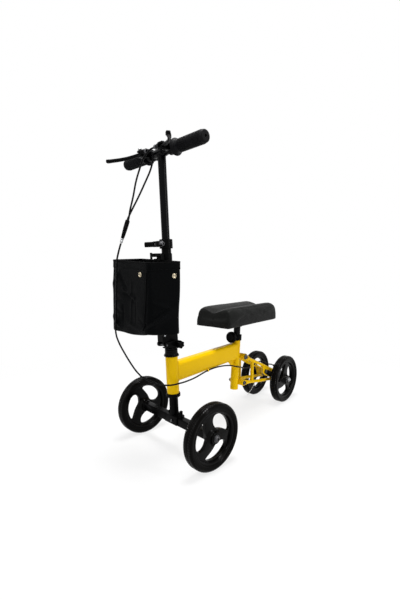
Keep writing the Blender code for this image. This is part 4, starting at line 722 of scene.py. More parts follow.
def show(name, mesh, body, finish, stands_for=(), angle=32, ride=True):
    """An object in its finish that rides on a body and stands for frame pieces."""
    mesh.name = name
    mesh.materials.clear()
    mesh.materials.append(FINISH[finish])
    mesh.shade_smooth()
    mesh.set_sharp_from_angle(angle=math.radians(angle))
    piece = placed(name, mesh)
    if ride:
        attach(piece, body)
    if stands_for:
        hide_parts(*stands_for)
    made_pieces.append(piece)
    return piece


print("slots:", ", ".join(sorted(BY_SLOT)))

# %% [markdown]
# Geometry Nodes make whatever repeats. The helpers below keep a tree short to write: `geo` adds
# and wires a node, `new_tree` opens a tree with named inputs, and `run_tree` hangs it on a
# helper object, sets its inputs by their identifiers, and takes the result as a plain mesh.

# %% Helpers for Geometry Nodes
KINDS = {"OBJECT": "NodeSocketObject", "INT": "NodeSocketInt", "FLOAT": "NodeSocketFloat",
         "VECTOR": "NodeSocketVector", "MATERIAL": "NodeSocketMaterial"}


def geo(tree, kind, inputs=(), **settings):
    family = "" if kind.startswith(("Function", "Shader")) else "GeometryNode"
    return wire(tree, kind, inputs, family, **settings)


def shape_of(tree, socket):
    """The geometry of the object on this input, in its own space."""
    return geo(tree, "ObjectInfo", {"Object": socket}, transform_space="ORIGINAL").outputs["Geometry"]


def new_tree(name, knobs):
    tree = bpy.data.node_groups.new(name, "GeometryNodeTree")
    tree.interface.new_socket("Geometry", in_out="INPUT", socket_type="NodeSocketGeometry")
    for label, kind in knobs:
        tree.interface.new_socket(label, in_out="INPUT", socket_type=KINDS[kind])
    tree.interface.new_socket("Geometry", in_out="OUTPUT", socket_type="NodeSocketGeometry")
    return tree, tree.nodes.new("NodeGroupInput").outputs


def end_tree(tree, geometry, finish):
    """Realize Instances and Set Material, then the tree's output."""
    real = geo(tree, "RealizeInstances", {0: geometry})
    painted = geo(tree, "SetMaterial", {0: real.outputs[0], "Material": finish})
    out = tree.nodes.new("NodeGroupOutput")
    tree.links.new(painted.outputs[0], out.inputs[0])


def run_tree(tree, **knobs):
    """The mesh that a tree makes with these inputs."""
    holder = placed("holder", bpy.data.meshes.new("holder"))
    step = holder.modifiers.new("tree", "NODES")
    step.node_group = tree
    for socket in tree.interface.items_tree:
        if socket.in_out == "INPUT" and socket.name.replace(" ", "_") in knobs:
            step[socket.identifier] = knobs[socket.name.replace(" ", "_")]
    mesh = as_mesh(holder)
    holder.modifiers.remove(step)
    bpy.data.objects.remove(holder)
    return mesh


def repeated(tree, small, finish, **knobs):
    """A small mesh set out by a tree, as one mesh."""
    bench = placed("bench", small)
    made = run_tree(tree, Small_Piece=bench, Finish=FINISH[finish], **knobs)
    clear_bench(bench)
    return made


def clear_bench(*pieces):
    for piece in pieces:
        bpy.data.objects.remove(piece)


print("a tree can have inputs of", len(KINDS), "kinds")

# %% [markdown]
# Three trees cover the repeated details. `round_the_axle` sets copies in a circle, for tread
# blocks. `down_a_row` sets them at even steps, for the ribs of grips and barrels. `along_a_line`
# spaces them on a path and turns each one to follow it, for stitches and weld ripples.

# %% Three trees that repeat a small shape
round_the_axle, knob = new_tree("round_the_axle",
    [("Small Piece", "OBJECT"), ("Count", "INT"), ("Radius", "FLOAT"), ("Finish", "MATERIAL")])
t = round_the_axle
count_up = geo(t, "InputIndex").outputs[0]
angle = maths(t, "MULTIPLY", maths(t, "DIVIDE", count_up, knob["Count"]), 2 * math.pi)
y = maths(t, "MULTIPLY", maths(t, "COSINE", angle), knob["Radius"])
z = maths(t, "MULTIPLY", maths(t, "SINE", angle), knob["Radius"])
spots = geo(t, "Points", {"Count": knob["Count"],
    "Position": geo(t, "ShaderNodeCombineXYZ", {1: y, 2: z}).outputs[0]})
small = shape_of(t, knob["Small Piece"])
rolled = geo(t, "ShaderNodeCombineXYZ", {0: angle}).outputs[0]
copies = geo(t, "InstanceOnPoints", {"Points": spots.outputs[0], "Instance": small})
rolled = geo(t, "RotateInstances", {"Instances": copies.outputs[0], "Rotation": rolled})
end_tree(t, rolled.outputs[0], knob["Finish"])

down_a_row, knob = new_tree("down_a_row", [("Small Piece", "OBJECT"), ("Count", "INT"), ("Start", "VECTOR"),
    ("Step", "VECTOR"), ("Finish", "MATERIAL")])
t = down_a_row
line_up = geo(t, "MeshLine", {"Count": knob["Count"], "Start Location": knob["Start"],
    "Offset": knob["Step"]}, mode="OFFSET")
small = shape_of(t, knob["Small Piece"])
copies = geo(t, "InstanceOnPoints", {"Points": line_up.outputs[0], "Instance": small})
end_tree(t, copies.outputs[0], knob["Finish"])

along_a_line, knob = new_tree("along_a_line", [("Small Piece", "OBJECT"), ("Path", "OBJECT"),
    ("Spacing", "FLOAT"), ("Finish", "MATERIAL")])
t = along_a_line
drawn = geo(t, "MeshToCurve", {0: shape_of(t, knob["Path"])})
even = geo(t, "ResampleCurve", {"Curve": drawn.outputs[0], "Length": knob["Spacing"]}, mode="LENGTH")
facing = geo(t, "FunctionNodeAlignRotationToVector", {"Vector": geo(t, "InputTangent").outputs[0]},
    axis="Z")
small = shape_of(t, knob["Small Piece"])
copies = geo(t, "InstanceOnPoints", {"Points": even.outputs[0], "Instance": small,
    "Rotation": facing.outputs[0]})
end_tree(t, copies.outputs[0], knob["Finish"])
print("trees:", round_the_axle.name, down_a_row.name, along_a_line.name)

# %% [markdown]
# The wheels are 200 mm rubber tyres on moulded rims. The tyre is a turned section: two round
# shoulders, a thin moulded ring on each sidewall and shallow grooves beside a raised centre band.
# The tread blocks are short slanted dashes in two rows, so one pair is drawn once and a tree
# sets eighty-four pairs round the axle.

# %% Tyre
half_tyre = [(0.0785, 0.0131), (0.0812, 0.0142), (0.0818, 0.0149), (0.0824, 0.0146), (0.085, 0.0153),
             (0.089, 0.0159), (0.0912, 0.0158), (0.0918, 0.0162), (0.0925, 0.0156), (0.0948, 0.0147),
             (0.0966, 0.0131), (0.0978, 0.0112), (0.0983, 0.0094), (0.0984, 0.006), (0.0979, 0.0052),
             (0.0979, 0.0044), (0.0986, 0.0036), (0.099, 0.0028), (0.099, 0.001), (0.0986, 0.0004)]
tyre_line = half_tyre + [(r, -x) for r, x in half_tyre[::-1]]
tyre_body = lathe(tyre_line + [(0.0778, -0.011), (0.0778, 0.011)], "X", steps=144, closed=True)
dash = []
for row in (1, -1):
    dash.append(brick((0.005, 0.0022, 0.0021), edge=0.0004, steps=1,
                      place=shift(row * 0.0079, 0, 0) @ turn(row * 28, "Y")))
    dash.append(brick((0.0026, 0.002, 0.0026), edge=0.0004, steps=1,
                      place=shift(row * 0.0112, -0.0008, 0.0018) @ turn(-row * 24, "Z")))
tread = repeated(round_the_axle, join(*dash), "tread_rubber", Count=84, Radius=0.098)
print("tyre has", len(tyre_body.polygons), "faces, radius with tread",
    round(max(math.hypot(v.co.y, v.co.z) for v in tread.vertices), 5))

# %% [markdown]
# The rim is one moulding: a hoop, a hub, and a flat web with three comma-shaped openings that
# sweep round in the same direction. The web is cut as a plate with its three holes, which keeps
# the edges of the openings crisp but eased. A raised bead follows each opening, and the hub
# flares smoothly into the web, because a moulder avoids sudden changes of thickness.

# %% Rim
def comma_opening(first_angle, grow=0.0):
    outer, inner = 0.066 + grow, 0.0265 - grow
    span = outer - inner
    lead = math.degrees(grow / 0.046)
    drawn = [(outer, 70), (outer, 54), (outer, 37), (outer, 20), (outer - 0.0005, 8 - lead),
        (outer - 0.005, 1 - lead), (outer - 0.011, 3 - lead), (inner + span * 0.48, 13 - lead),
        (inner + span * 0.25, 27 - lead), (inner + span * 0.06, 43), (inner, 60),
        (inner + span * 0.12, 76 + lead), (inner + span * 0.36, 87 + lead),
        (inner + span * 0.66, 87 + lead), (inner + span * 0.9, 80 + lead)]
    knots = [(r * math.cos(math.radians(a + first_angle)), r * math.sin(math.radians(a + first_angle)), 0)
        for r, a in drawn]
    return [(p.x, p.y) for p in smooth_line(knots, 0.0032, closed=True)]


openings = [comma_opening(2 + 120 * n, 0.0018) for n in range(3)]
web = flat_plate([round_hole((0, 0), 0.0722, 144), *openings, round_hole((0, 0), 0.01, 48)], 0.0105, 0.0016,
    steps=3)
hoop = turned_ring([(0.0781, 0.0128, 0.0006), (0.0781, -0.0128, 0.0006), (0.0745, -0.0128, 0.001),
    (0.0722, -0.0108, 0.001), (0.07, -0.006, 0.002), (0.07, 0.006, 0.002), (0.0722, 0.0108, 0.001),
    (0.0745, 0.0128, 0.001)], "X", steps=144)
hub = turned_ring([(0.0168, 0.0176, 0.0014), (0.015, 0.018, 0.0008), (0.014, 0.018, 0.001),
    (0.0132, 0.0166, 0.001), (0.01, 0.0166, 0.0005), (0.01, -0.0166, 0.0005), (0.0132, -0.0166, 0.001),
    (0.014, -0.018, 0.001), (0.015, -0.018, 0.0008), (0.0168, -0.0176, 0.0014), (0.0182, -0.012, 0.004),
    (0.021, -0.0078, 0.003), (0.0262, -0.005, 0.001), (0.0262, 0.005, 0.001), (0.021, 0.0078, 0.003),
    (0.0182, 0.012, 0.004)], "X", steps=96)
beads = []
for n in range(3):
    for face in (1, -1):
        line = [(face * 0.0049, y, z) for y, z in comma_opening(2 + 120 * n, 0.0026)]
        line = [Vector(p) for p in line] + [Vector(line[0]), Vector(line[1])]
        beads.append(sweep(line, 0.0011, 8))
rim = join(web, hoop, hub, *beads)
bearing = turned_ring([(0.01, 0.016), (0.0098, 0.0164, 0.0003), (0.0086, 0.0164, 0.0003),
    (0.0084, 0.0158, 0.0002), (0.0066, 0.0158, 0.0002), (0.0064, 0.0164, 0.0002), (0.0052, 0.0164, 0.0003),
    (0.0052, -0.0164, 0.0003), (0.0064, -0.0164, 0.0002), (0.0066, -0.0158, 0.0002),
    (0.0084, -0.0158, 0.0002), (0.0086, -0.0164, 0.0003), (0.0098, -0.0164, 0.0003), (0.01, -0.016)], "X")
print("rim has", len(rim.polygons), "faces")

# %% [markdown]
# Four wheels share these meshes. Each is turned to the angle that its openings have in the
# photograph, and the outer face looks outwards on both sides.

# %% Four wheels
WHEELS = {"front_left": (FRONT_AXLE @ shift(0.1675, 0, 0), 0, 0),
    "front_right": (FRONT_AXLE @ shift(-0.1675, 0, 0), 180, 81),
    "rear_left": (REAR_AXLE @ shift(0.071, 0, 0), 0, -30),
    "rear_right": (REAR_AXLE @ shift(-0.071, 0, 0), 180, 75)}
for label, (axle, facing, rolled) in WHEELS.items():
    place = axle @ turn(facing, "Z") @ turn(rolled, "X")
    for kind, source, finish, slot in (("tyre", tyre_body, "tyre_rubber", "tyre"),
            ("tread", tread, "tread_rubber", "tyre"), ("rim", rim, "rim_black", "gloss_rim"),
            ("bearing", bearing, "dark_steel", "dark_steel")):
        mesh = source.copy()
        mesh.transform(place)
        stands_for = [f"{kind}_{label}"] if kind in ("tyre", "rim") else []
        show(f"wheel_{kind}_{label}", mesh, f"wheel_{label}", finish, stands_for)
print("wheels:", ", ".join(WHEELS))

# %% [markdown]
# A frame is welded from cut tubes, and where two tubes meet the welder leaves a rippled bead.
# The tree `weld_up` does the same: a Mesh Boolean node joins the tubes into one skin and tells
# which edges are new. Those edges become a curve, and small ripples are set along it every two
# millimetres. Bores and bolt holes are cut from the joined skin afterwards, as a reamer would.

# %% Weld tubes together
def weld_up(name, tubes, bores, finish, bead=0.0016, pitch=0.0021):
    """One welded piece from closed tubes, with a bead where they meet and bores cut through."""
    knobs = [(f"Tube {n}", "OBJECT") for n in range(len(tubes))]
    knobs += [(f"Bore {n}", "OBJECT") for n in range(len(bores))]
    knobs += [("Bead", "FLOAT"), ("Pitch", "FLOAT"), ("Finish", "MATERIAL")]
    tree, knob = new_tree("weld_up_" + name, knobs)
    joined = geo(tree, "MeshBoolean", operation="UNION", solver="EXACT")
    for n in range(len(tubes)):
        tree.links.new(shape_of(tree, knob[f"Tube {n}"]), joined.inputs["Mesh 2"])
    skin = joined.outputs["Mesh"]
    if bores:
        reamed = geo(tree, "MeshBoolean", {"Mesh 1": skin}, operation="DIFFERENCE", solver="EXACT")
        for n in range(len(bores)):
            tree.links.new(shape_of(tree, knob[f"Bore {n}"]), reamed.inputs["Mesh 2"])
        skin = reamed.outputs["Mesh"]
    seam = geo(tree, "MeshToCurve", {0: joined.outputs["Mesh"],
        "Selection": joined.outputs["Intersecting Edges"]})
    steps = geo(tree, "ResampleCurve", {"Curve": seam.outputs[0], "Length": knob["Pitch"]}, mode="LENGTH")
    ripple = geo(tree, "MeshIcoSphere", {"Radius": knob["Bead"], "Subdivisions": 2})
    soft = geo(tree, "SetShadeSmooth", {0: ripple.outputs[0]})
    facing = geo(tree, "FunctionNodeAlignRotationToVector",
        {"Vector": geo(tree, "InputTangent").outputs[0]}, axis="Z")
    beads = geo(tree, "InstanceOnPoints", {"Points": steps.outputs[0], "Instance": soft.outputs[0],
                                           "Rotation": facing.outputs[0], "Scale": (1.0, 1.0, 0.78)})
    both = geo(tree, "JoinGeometry")
    tree.links.new(beads.outputs[0], both.inputs[0])
    tree.links.new(skin, both.inputs[0])
    end_tree(tree, both.outputs[0], knob["Finish"])
    bench = [placed(f"{name}_{n}", m) for n, m in enumerate([*tubes, *bores])]
    sockets = {f"Tube_{n}": piece for n, piece in enumerate(bench[:len(tubes)])}
    sockets.update({f"Bore_{n}": piece for n, piece in enumerate(bench[len(tubes):])})
    mesh = run_tree(tree, Bead=bead, Pitch=pitch, Finish=FINISH[finish], **sockets)
    clear_bench(*bench)
    print(name, "welded from", len(tubes), "shapes:", len(mesh.polygons), "faces")
    return mesh


def rod(radius, start, end, place=None, steps=48, ease=0.0006, end_radius=None):
    """A straight round bar between two points, with eased ends."""
    start, end = Vector(start), Vector(end)
    long = (end - start).length
    last = radius if end_radius is None else end_radius
    aim = shift(*start) @ (end - start).to_track_quat("Z", "Y").to_matrix().to_4x4()
    line = [(0, 0), *eased([(0, 0), (radius, 0, ease), (last, long, ease), (0, long)])[1:-1], (0, long)]
    return lathe(line, "Z", (place or UNMOVED) @ aim, steps)


def crossing(radius, reach, spot, place, steps=24, ease=0.0006):
    """A round bar from side to side through a (y, z) spot."""
    return rod(radius, (-reach, *spot), (reach, *spot), place, steps, ease)


# %% [markdown]
# The main frame in yellow: the head tube, a deep box-section tube with rounded corners, the seat
# tube, two cross sleeves for the rear forks and a small gusset. The box section is drawn once
# and swept between its two ends. It rises a little towards the seat tube, as in the photograph.

# %% Main frame
def box_tube(width, height, corner, start, end, place):
    """A rectangular tube with round corners between two points in the YZ plane."""
    steps = 8
    start, end = Vector(start), Vector(end)
    long = (end - start).length
    tilt = math.atan2(end.z - start.z, end.y - start.y)
    corners = [(-width / 2, -height / 2), (width / 2, -height / 2), (width / 2, height / 2),
        (-width / 2, height / 2)]
    ring = []
    for (cx, cy), first in zip(corners, (180, 270, 0, 90)):
        mx, my = cx - math.copysign(corner, cx), cy - math.copysign(corner, cy)
        for k in range(steps + 1):
            t = math.radians(first + 90 * k / steps)
            ring.append((mx + corner * math.cos(t), my + corner * math.sin(t)))
    shape = bmesh.new()
    near = [shape.verts.new((x, -long / 2, z)) for x, z in ring]
    far = [shape.verts.new((x, long / 2, z)) for x, z in ring]
    for n in range(len(ring)):
        m = (n + 1) % len(ring)
        shape.faces.new((near[n], near[m], far[m], far[n]))
    shape.faces.new(near[::-1])
    shape.faces.new(far)
    middle = (start + end) / 2
    return solid_mesh(shape, place @ shift(*middle) @ Matrix.Rotation(tilt, 4, "X"))


gusset = eased([(0.285, 0.2325), (0.285, 0.2275, 0.002), (0.313, 0.1985, 0.003), (0.323, 0.1985),
    (0.323, 0.2325)], closed=True)
tubes = [rod(0.019, (0, 0, 0.088), (0, 0, 0.207), HEAD, 64),
         box_tube(0.034, 0.063, 0.011, (0, 0.004, 0.254), (0, 0.327, 0.26), GROUND),
         rod(0.015, (0, 0, -0.04), (0, 0, 0.15), SEAT, 64),
         crossing(0.012, 0.024, UPPER_BOLT, GROUND, 48),
         crossing(0.012, 0.024, LOWER_BOLT, GROUND, 48),
         flat_plate([gusset], 0.006, place=GROUND)]
bores = [rod(0.0148, (0, 0, 0.07), (0, 0, 0.22), HEAD), rod(0.01315, (0, 0, -0.05), (0, 0, 0.16), SEAT),
         crossing(0.0045, 0.04, UPPER_BOLT, GROUND),
         crossing(0.0045, 0.04, LOWER_BOLT, GROUND)]
show("main_frame_welded", weld_up("main_frame", tubes, bores, "yellow_enamel"), "frame", "yellow_enamel",
    ["main_frame"])
print("main frame has", len(made_pieces[-1].data.polygons), "faces")

# %% [markdown]
# The rear of the frame is two forks, left and right. On each, two round bars start from flat
# bolt eyes, splay apart and end on a dropout plate that holds the wheel. A square strut joins
# the bars. The same function makes both sides, because a welder builds them as a pair.

# %% Rear forks
ANCHOR_BOLT = (0.492, 0.149)


def bar_height(behind, upper):
    """How high the upper or the lower bar runs at this distance behind the steering axis."""
    if upper:
        return 0.234 + (behind - 0.358) / 0.239 * (0.12314 - 0.235)
    return 0.134 + (behind - 0.351) / 0.246 * (0.09514 - 0.134)


def rear_fork(side):
    parts = []
    for upper, start, end in ((True, 0.373, 0.585), (False, 0.365, 0.581)):
        knots = [(side * x, b, bar_height(b, upper)) for x, b in
                 ((0.0268, start), (0.0283, 0.391), (0.0336, 0.451), (0.0336, end - 0.05), (0.0336, end))]
        parts.append(sweep(smooth_line(knots, 0.008), 0.006, 24, GROUND))
    for eye, radius, upper in ((UPPER_BOLT, 0.0125, True), (LOWER_BOLT, 0.0116, False)):
        reach = (eye[0] + 0.03, bar_height(eye[0] + 0.03, upper))
        parts.append(flat_plate([link_outline(eye, reach, radius, 0.0064)], 0.005, 0.0007,
            offset=side * 0.0268, place=GROUND))
    top, foot = bar_height(0.406, True), bar_height(0.406, False)
    parts.append(brick((0.01, 0.01, top - foot), (side * 0.0298, 0.406, (top + foot) / 2), 0.0012,
        place=GROUND))
    plate = [(0.476, bar_height(0.476, True) - 0.002), (0.478, 0.147, 0.003), (0.486, 0.136, 0.004),
        (0.506, 0.127, 0.006)]
    if side < 0:
        plate = [(0.545, bar_height(0.545, True) - 0.002), (0.56, bar_height(0.56, False) + 0.002, 0.004)]
    for n in range(13):
        t = math.radians(-110 + 15 * n)
        plate.append((0.597 + 0.014 * math.cos(t), 0.09914 + 0.014 * math.sin(t)))
    plate.append((0.591, bar_height(0.591, True)))
    parts.append(flat_plate([eased(plate, closed=True)], 0.005, 0.0008, offset=side * 0.0375, place=GROUND))
    parts.append(rod(0.009, (side * 0.0365, *REAR_CENTRE), (side * 0.0526, *REAR_CENTRE), GROUND))
    bored = [(UPPER_BOLT, 0.0043), (LOWER_BOLT, 0.0043), (ANCHOR_BOLT, 0.0043), (REAR_CENTRE, 0.0053)]
    holes = [rod(radius, (side * 0.015, *spot), (side * 0.06, *spot), GROUND, 24)
             for spot, radius in bored if side > 0 or spot != ANCHOR_BOLT]
    return parts, holes


for side, label in ((1, "left"), (-1, "right")):
    parts, holes = rear_fork(side)
    mesh = weld_up("rear_fork_" + label, parts, holes, "yellow_enamel", 0.0013, 0.0018)
    show(f"rear_fork_{label}_welded", mesh, "frame", "yellow_enamel", [f"rear_fork_{label}"])
print("forks bolted on at", UPPER_BOLT, "and", LOWER_BOLT)

# %% [markdown]
# Bolts hold the forks. A stock bolt has a hexagon or domed head with chamfered corners, a washer
# under it and a nut with a stub of thread beyond. `hex_nut` cuts the corners of a hexagon with
# a cone, which is what gives a real nut the curved edges on its flats.

# %% Bolts, nuts and washers
def hex_nut(flat, thick, hole, place, phase=0.3):
    """A hexagon nut on +Z from 0 to thick, with chamfered corners."""
    steps = 72
    full, low = flat / math.cos(math.pi / 6), flat * 0.97
    line = [(hole + 0.0003, 0.0)] if hole else [(0, 0.0)]
    line += [(low, 0.0), (hexagon(flat, full * 0.985, phase), flat * 0.1),
        (hexagon(flat, full, phase), flat * 0.16), (hexagon(flat, full, phase), thick - flat * 0.16),
        (hexagon(flat, full * 0.985, phase), thick - flat * 0.1), (low, thick)]
    if not hole:
        return lathe(line + [(0, thick)], "Z", place, steps)
    return lathe(line + [(hole + 0.0003, thick), (hole, thick - 0.0003), (hole, 0.0003)], "Z", place, steps,
        closed=True)


def domed_head(radius, thick, place, socket=0.0):
    """A domed bolt head on +Z, with a hexagon socket if one is given."""
    line = [(0, 0), *eased([(0, 0), (radius, 0, 0.0004), (radius, thick * 0.45, thick * 0.4),
        (radius * 0.62, thick, thick * 0.3), (0, thick)])[1:-1]]
    if socket:
        line += [(socket * 1.16, thick), (hexagon(socket), thick - 0.0003), (hexagon(socket), thick * 0.35),
            (0, thick * 0.3)]
    else:
        line += [(0, thick)]
    return lathe(line, "Z", place)


def washer(radius, hole, thick, place):
    return turned_ring([(radius, 0, 0.0002), (radius, thick, 0.0002), (hole, thick, 0.0002),
        (hole, 0, 0.0002)], "Z", place, 48)


def threaded_end(radius, long, place):
    """The stub of thread that stands out of a nut, with a chamfered tip."""
    line, pitch = [(0, 0)], 0.0009
    turns = max(1, int(long / pitch))
    for n in range(turns):
        line += [(radius * 0.88, n * pitch), (radius, (n + 0.5) * pitch)]
    line += [(radius * 0.88, turns * pitch), (radius * 0.7, long), (0, long)]
    return lathe(line, "Z", place, 24)


def facing_x(x, y, z, side=1):
    """A place on the frame's side where +Z of a fitting looks along +X or -X."""
    return GROUND @ shift(x, y, z) @ turn(90 * side, "Y")


for name, spot, head in (("upper", UPPER_BOLT, 0.0105), ("lower", LOWER_BOLT, 0.0085)):
    bolt = join(crossing(0.004, 0.03, spot, GROUND),
                washer(head, 0.0041, 0.0012, facing_x(0.0296, *spot)),
                domed_head(head * 0.92, 0.0056, facing_x(0.0307, *spot), 0.0026),
                washer(head * 0.95, 0.0041, 0.001, facing_x(-0.0296, *spot, -1)),
                hex_nut(head * 0.74, 0.0062, 0.0039, facing_x(-0.0306, *spot, -1)),
                threaded_end(0.0039, 0.0104, facing_x(-0.03, *spot, -1)))
    show(f"fork_bolt_{name}_set", bolt, "frame", "dark_steel", [f"fork_bolt_{name}"])

spindle = join(crossing(0.005, 0.0893, REAR_CENTRE, GROUND, 32),
               washer(0.0088, 0.0051, 0.0012, facing_x(-0.0893, *REAR_CENTRE, -1)),
               hex_nut(0.0074, 0.0058, 0.0, facing_x(-0.0905, *REAR_CENTRE, -1), phase=0.5),
               threaded_end(0.0049, 0.0118, facing_x(0.0893, *REAR_CENTRE)))
show("rear_axle_spindle", spindle, "frame", "bright_steel", ["rear_axle"])
lock_nut = join(washer(0.0088, 0.0051, 0.0012, facing_x(0.0893, *REAR_CENTRE)),
                hex_nut(0.0078, 0.0058, 0.005, facing_x(0.0905, *REAR_CENTRE)))
show("rear_axle_lock_nut", lock_nut, "frame", "bright_steel", ["rear_axle_nut"])
print("rear fittings done")

# %% [markdown]
# The left rear wheel carries a small drum brake. Its backing plate is pressed steel: a disc with
# a rolled rim and two ears, one for the anchor bolt on the frame and one for the pivot of the
# arm. The drum behind it turns with the wheel. The arm, pulled by the cable, is a flat lever.

# %% Drum brake
def beside_axle(x, y, z, side=1):
    return REAR_AXLE @ shift(x, y, z) @ turn(90 * side, "Y")


anchor, arm_pivot = (-0.105, 0.04986), (-0.017, 0.044)
anchor_ear = [link_outline((0, 0), anchor, 0.015, 0.0085), round_hole(anchor, 0.0042)]
pivot_ear = [link_outline((0, 0), arm_pivot, 0.015, 0.0075)]
ears = [flat_plate(anchor_ear, 0.003, 0.0005, offset=0.0418, place=REAR_AXLE),
        flat_plate(pivot_ear, 0.0029, 0.0005, offset=0.04185, place=REAR_AXLE)]
pressed = turned_ring([(0.037, 0.0405, 0.0006), (0.037, 0.043, 0.0008), (0.034, 0.0437, 0.0008),
    (0.031, 0.0431, 0.001), (0.018, 0.0431, 0.001), (0.016, 0.0438, 0.0006), (0.0094, 0.0438, 0.0004),
    (0.0094, 0.0404, 0.0004)], "X", REAR_AXLE, 96)
post = rod(0.003, (0.041, *arm_pivot), (0.0488, *arm_pivot), REAR_AXLE, 24)
keeper = washer(0.0052, 0.0031, 0.0008, beside_axle(0.0466, *arm_pivot))
plate = join(pressed, *ears, post, keeper)
show("brake_backing", plate, "frame", "satin_black_paint", ["brake_plate"])
bolt = join(rod(0.004, (0.033, *anchor), (0.044, *anchor), REAR_AXLE, 24),
    washer(0.0084, 0.0041, 0.001, beside_axle(0.0434, *anchor)),
    domed_head(0.0072, 0.0046, beside_axle(0.0443, *anchor), 0.0024))
show("brake_anchor_set", bolt, "frame", "dark_steel", ["brake_anchor_bolt"])
drum_line = eased([(0.033, 0.0652, 0.001), (0.033, 0.06, 0.0004), (0.0322, 0.0594, 0.0004),
    (0.0322, 0.05, 0.0004), (0.033, 0.0494, 0.0004), (0.033, 0.0443, 0.0006), (0.03, 0.0443, 0.0006),
    (0.0262, 0.0473, 0.001), (0.0245, 0.0473, 0.0004), (0.0245, 0.0652, 0.0004)], closed=True)
show("brake_drum_turned", lathe(drum_line, "X", REAR_AXLE, 96, True), "wheel_rear_left", "dark_steel",
    ["brake_drum"])
arm_end = (-0.0285, 0.0195)
lever = join(flat_plate([link_outline((0, 0), arm_end, 0.006, 0.0045), round_hole((0, 0), 0.0032)], 0.0025,
    0.0004, offset=0.04485, place=ARM), rod(0.003, (0.045, *arm_end), (0.0499, *arm_end), ARM, 24),
    washer(0.0046, 0.0031, 0.0008, ARM @ shift(0.0462, *arm_end) @ turn(90, "Y")))
show("brake_pull_arm", lever, "drum_arm", "dark_steel", ["brake_arm"])
print("drum brake done")

# %% [markdown]
# Headset and seat clamp. The black ring under the head tube is the lower cup of the steering
# bearing, with a thin seal line. The collar on the seat tube is a split ring: a slot, a boss and
# a big round knob that pinches it shut. The knob has a knurled rim, which a tree sets round it.

# %% Lower cup, seat collar and knob
cup = turned_ring([(0.0212, 0.0877, 0.0005), (0.0222, 0.086, 0.0006), (0.0222, 0.082, 0.0004),
    (0.0214, 0.0815, 0.0003), (0.0214, 0.0807, 0.0003), (0.0222, 0.0802, 0.0004), (0.0222, 0.0782, 0.001),
    (0.019, 0.0752, 0.0008), (0.0148, 0.0752, 0.0005), (0.0148, 0.0877, 0.0004)], "Z", HEAD, 96)
show("headset_cup_lower", cup, "frame", "satin_black_paint", ["headset_lower_cup"])
ring = turned_ring([(0.0186, 0.1503, 0.0006), (0.0186, 0.1716, 0.0012), (0.0176, 0.1724, 0.0006),
    (0.0131, 0.1724, 0.0006), (0.0131, 0.1503, 0.0004)], "Z", SEAT, 96)
boss = rod(0.0078, (0, -0.0264, 0.1635), (0, -0.0152, 0.1635), SEAT, 48, 0.001)
slot = brick((0.0016, 0.013, 0.03), (0, 0.0185, 0.1613), 0.0001, 1, SEAT)
show("seat_collar_split", weld_up("seat_collar", [ring, boss], [slot], "moulded_black", 0.0007, 0.0012),
    "frame", "moulded_black", ["seat_collar"])
knob_line = [(0, -0.0005), *eased([(0, -0.0005), (0.011, -0.0005, 0.0006), (0.013, 0.0018, 0.001),
    (0.0196, 0.0022, 0.0012), (0.0204, 0.005, 0.001), (0.0204, 0.012, 0.0016), (0.018, 0.0158, 0.002),
    (0.012, 0.0168, 0.001), (0.0095, 0.0156, 0.0006), (0, 0.0156)])[1:-1], (0, 0.0156)]
aim = SEAT @ shift(0, -0.0272, 0.1635) @ turn(90, "X")
tooth = brick((0.0094, 0.0018, 0.0016), (0, 0, 0), 0.0005, 1)
knurl = repeated(round_the_axle, tooth, "moulded_black", Count=36, Radius=0.0204)
knurl.transform(aim @ shift(0, 0, 0.0075) @ turn(90, "Y"))
show("seat_knob_round", join(lathe(knob_line, "Z", aim, 96), knurl), "post_knob", "moulded_black",
    ["seat_knob"])
print("headset and seat clamp done")

# %% [markdown]
# The steering stands on a square axle beam with rounded corners, bored at both ends for the
# long bolts that carry the wheels. Everything here is satin black paint over steel.

# %% Axle beam and its bolts
beam = box_tube(0.026, 0.026, 0.004, (0, -0.1492, 0), (0, 0.1492, 0), FRONT_AXLE @ turn(-90, "Z"))
beam_cuts = [rod(0.0052, (side * 0.114, 0, 0), (side * 0.16, 0, 0), FRONT_AXLE, 24) for side in (1, -1)]
beam_cuts.append(rod(0.0043, (0.006, -0.03, 0.001), (0.006, 0.03, 0.001), FRONT_AXLE, 24))
show("front_beam_square", weld_up("front_beam", [beam], beam_cuts, "satin_black_paint"), "steering",
    "satin_black_paint", ["front_axle_beam"])
for side, label in ((1, "left"), (-1, "right")):
    out = FRONT_AXLE @ turn(0 if side > 0 else 180, "Z") @ shift(0.1858, 0, 0) @ turn(90, "Y")
    bolt = join(rod(0.005, (side * 0.1165, 0, 0), (side * 0.1864, 0, 0), FRONT_AXLE, 32),
        washer(0.0112, 0.0051, 0.001, out), domed_head(0.0094, 0.0065, out @ shift(0, 0, 0.0009), 0.0044))
    spacer = rod(0.0075, (side * 0.1494, 0, 0), (side * 0.1505, 0, 0), FRONT_AXLE, 32, 0.0003)
    show(f"front_axle_bolt_{label}", join(bolt, spacer), "steering", "dark_steel", [f"front_axle_{label}"])
print("axle beam has", len(beam_cuts), "holes")

# %% [markdown]
# A saddle of folded plate sits over the beam, with two side gussets up to the column tube, a bolt
# through it and, above the head tube, a fork of two plates that the column folds in.

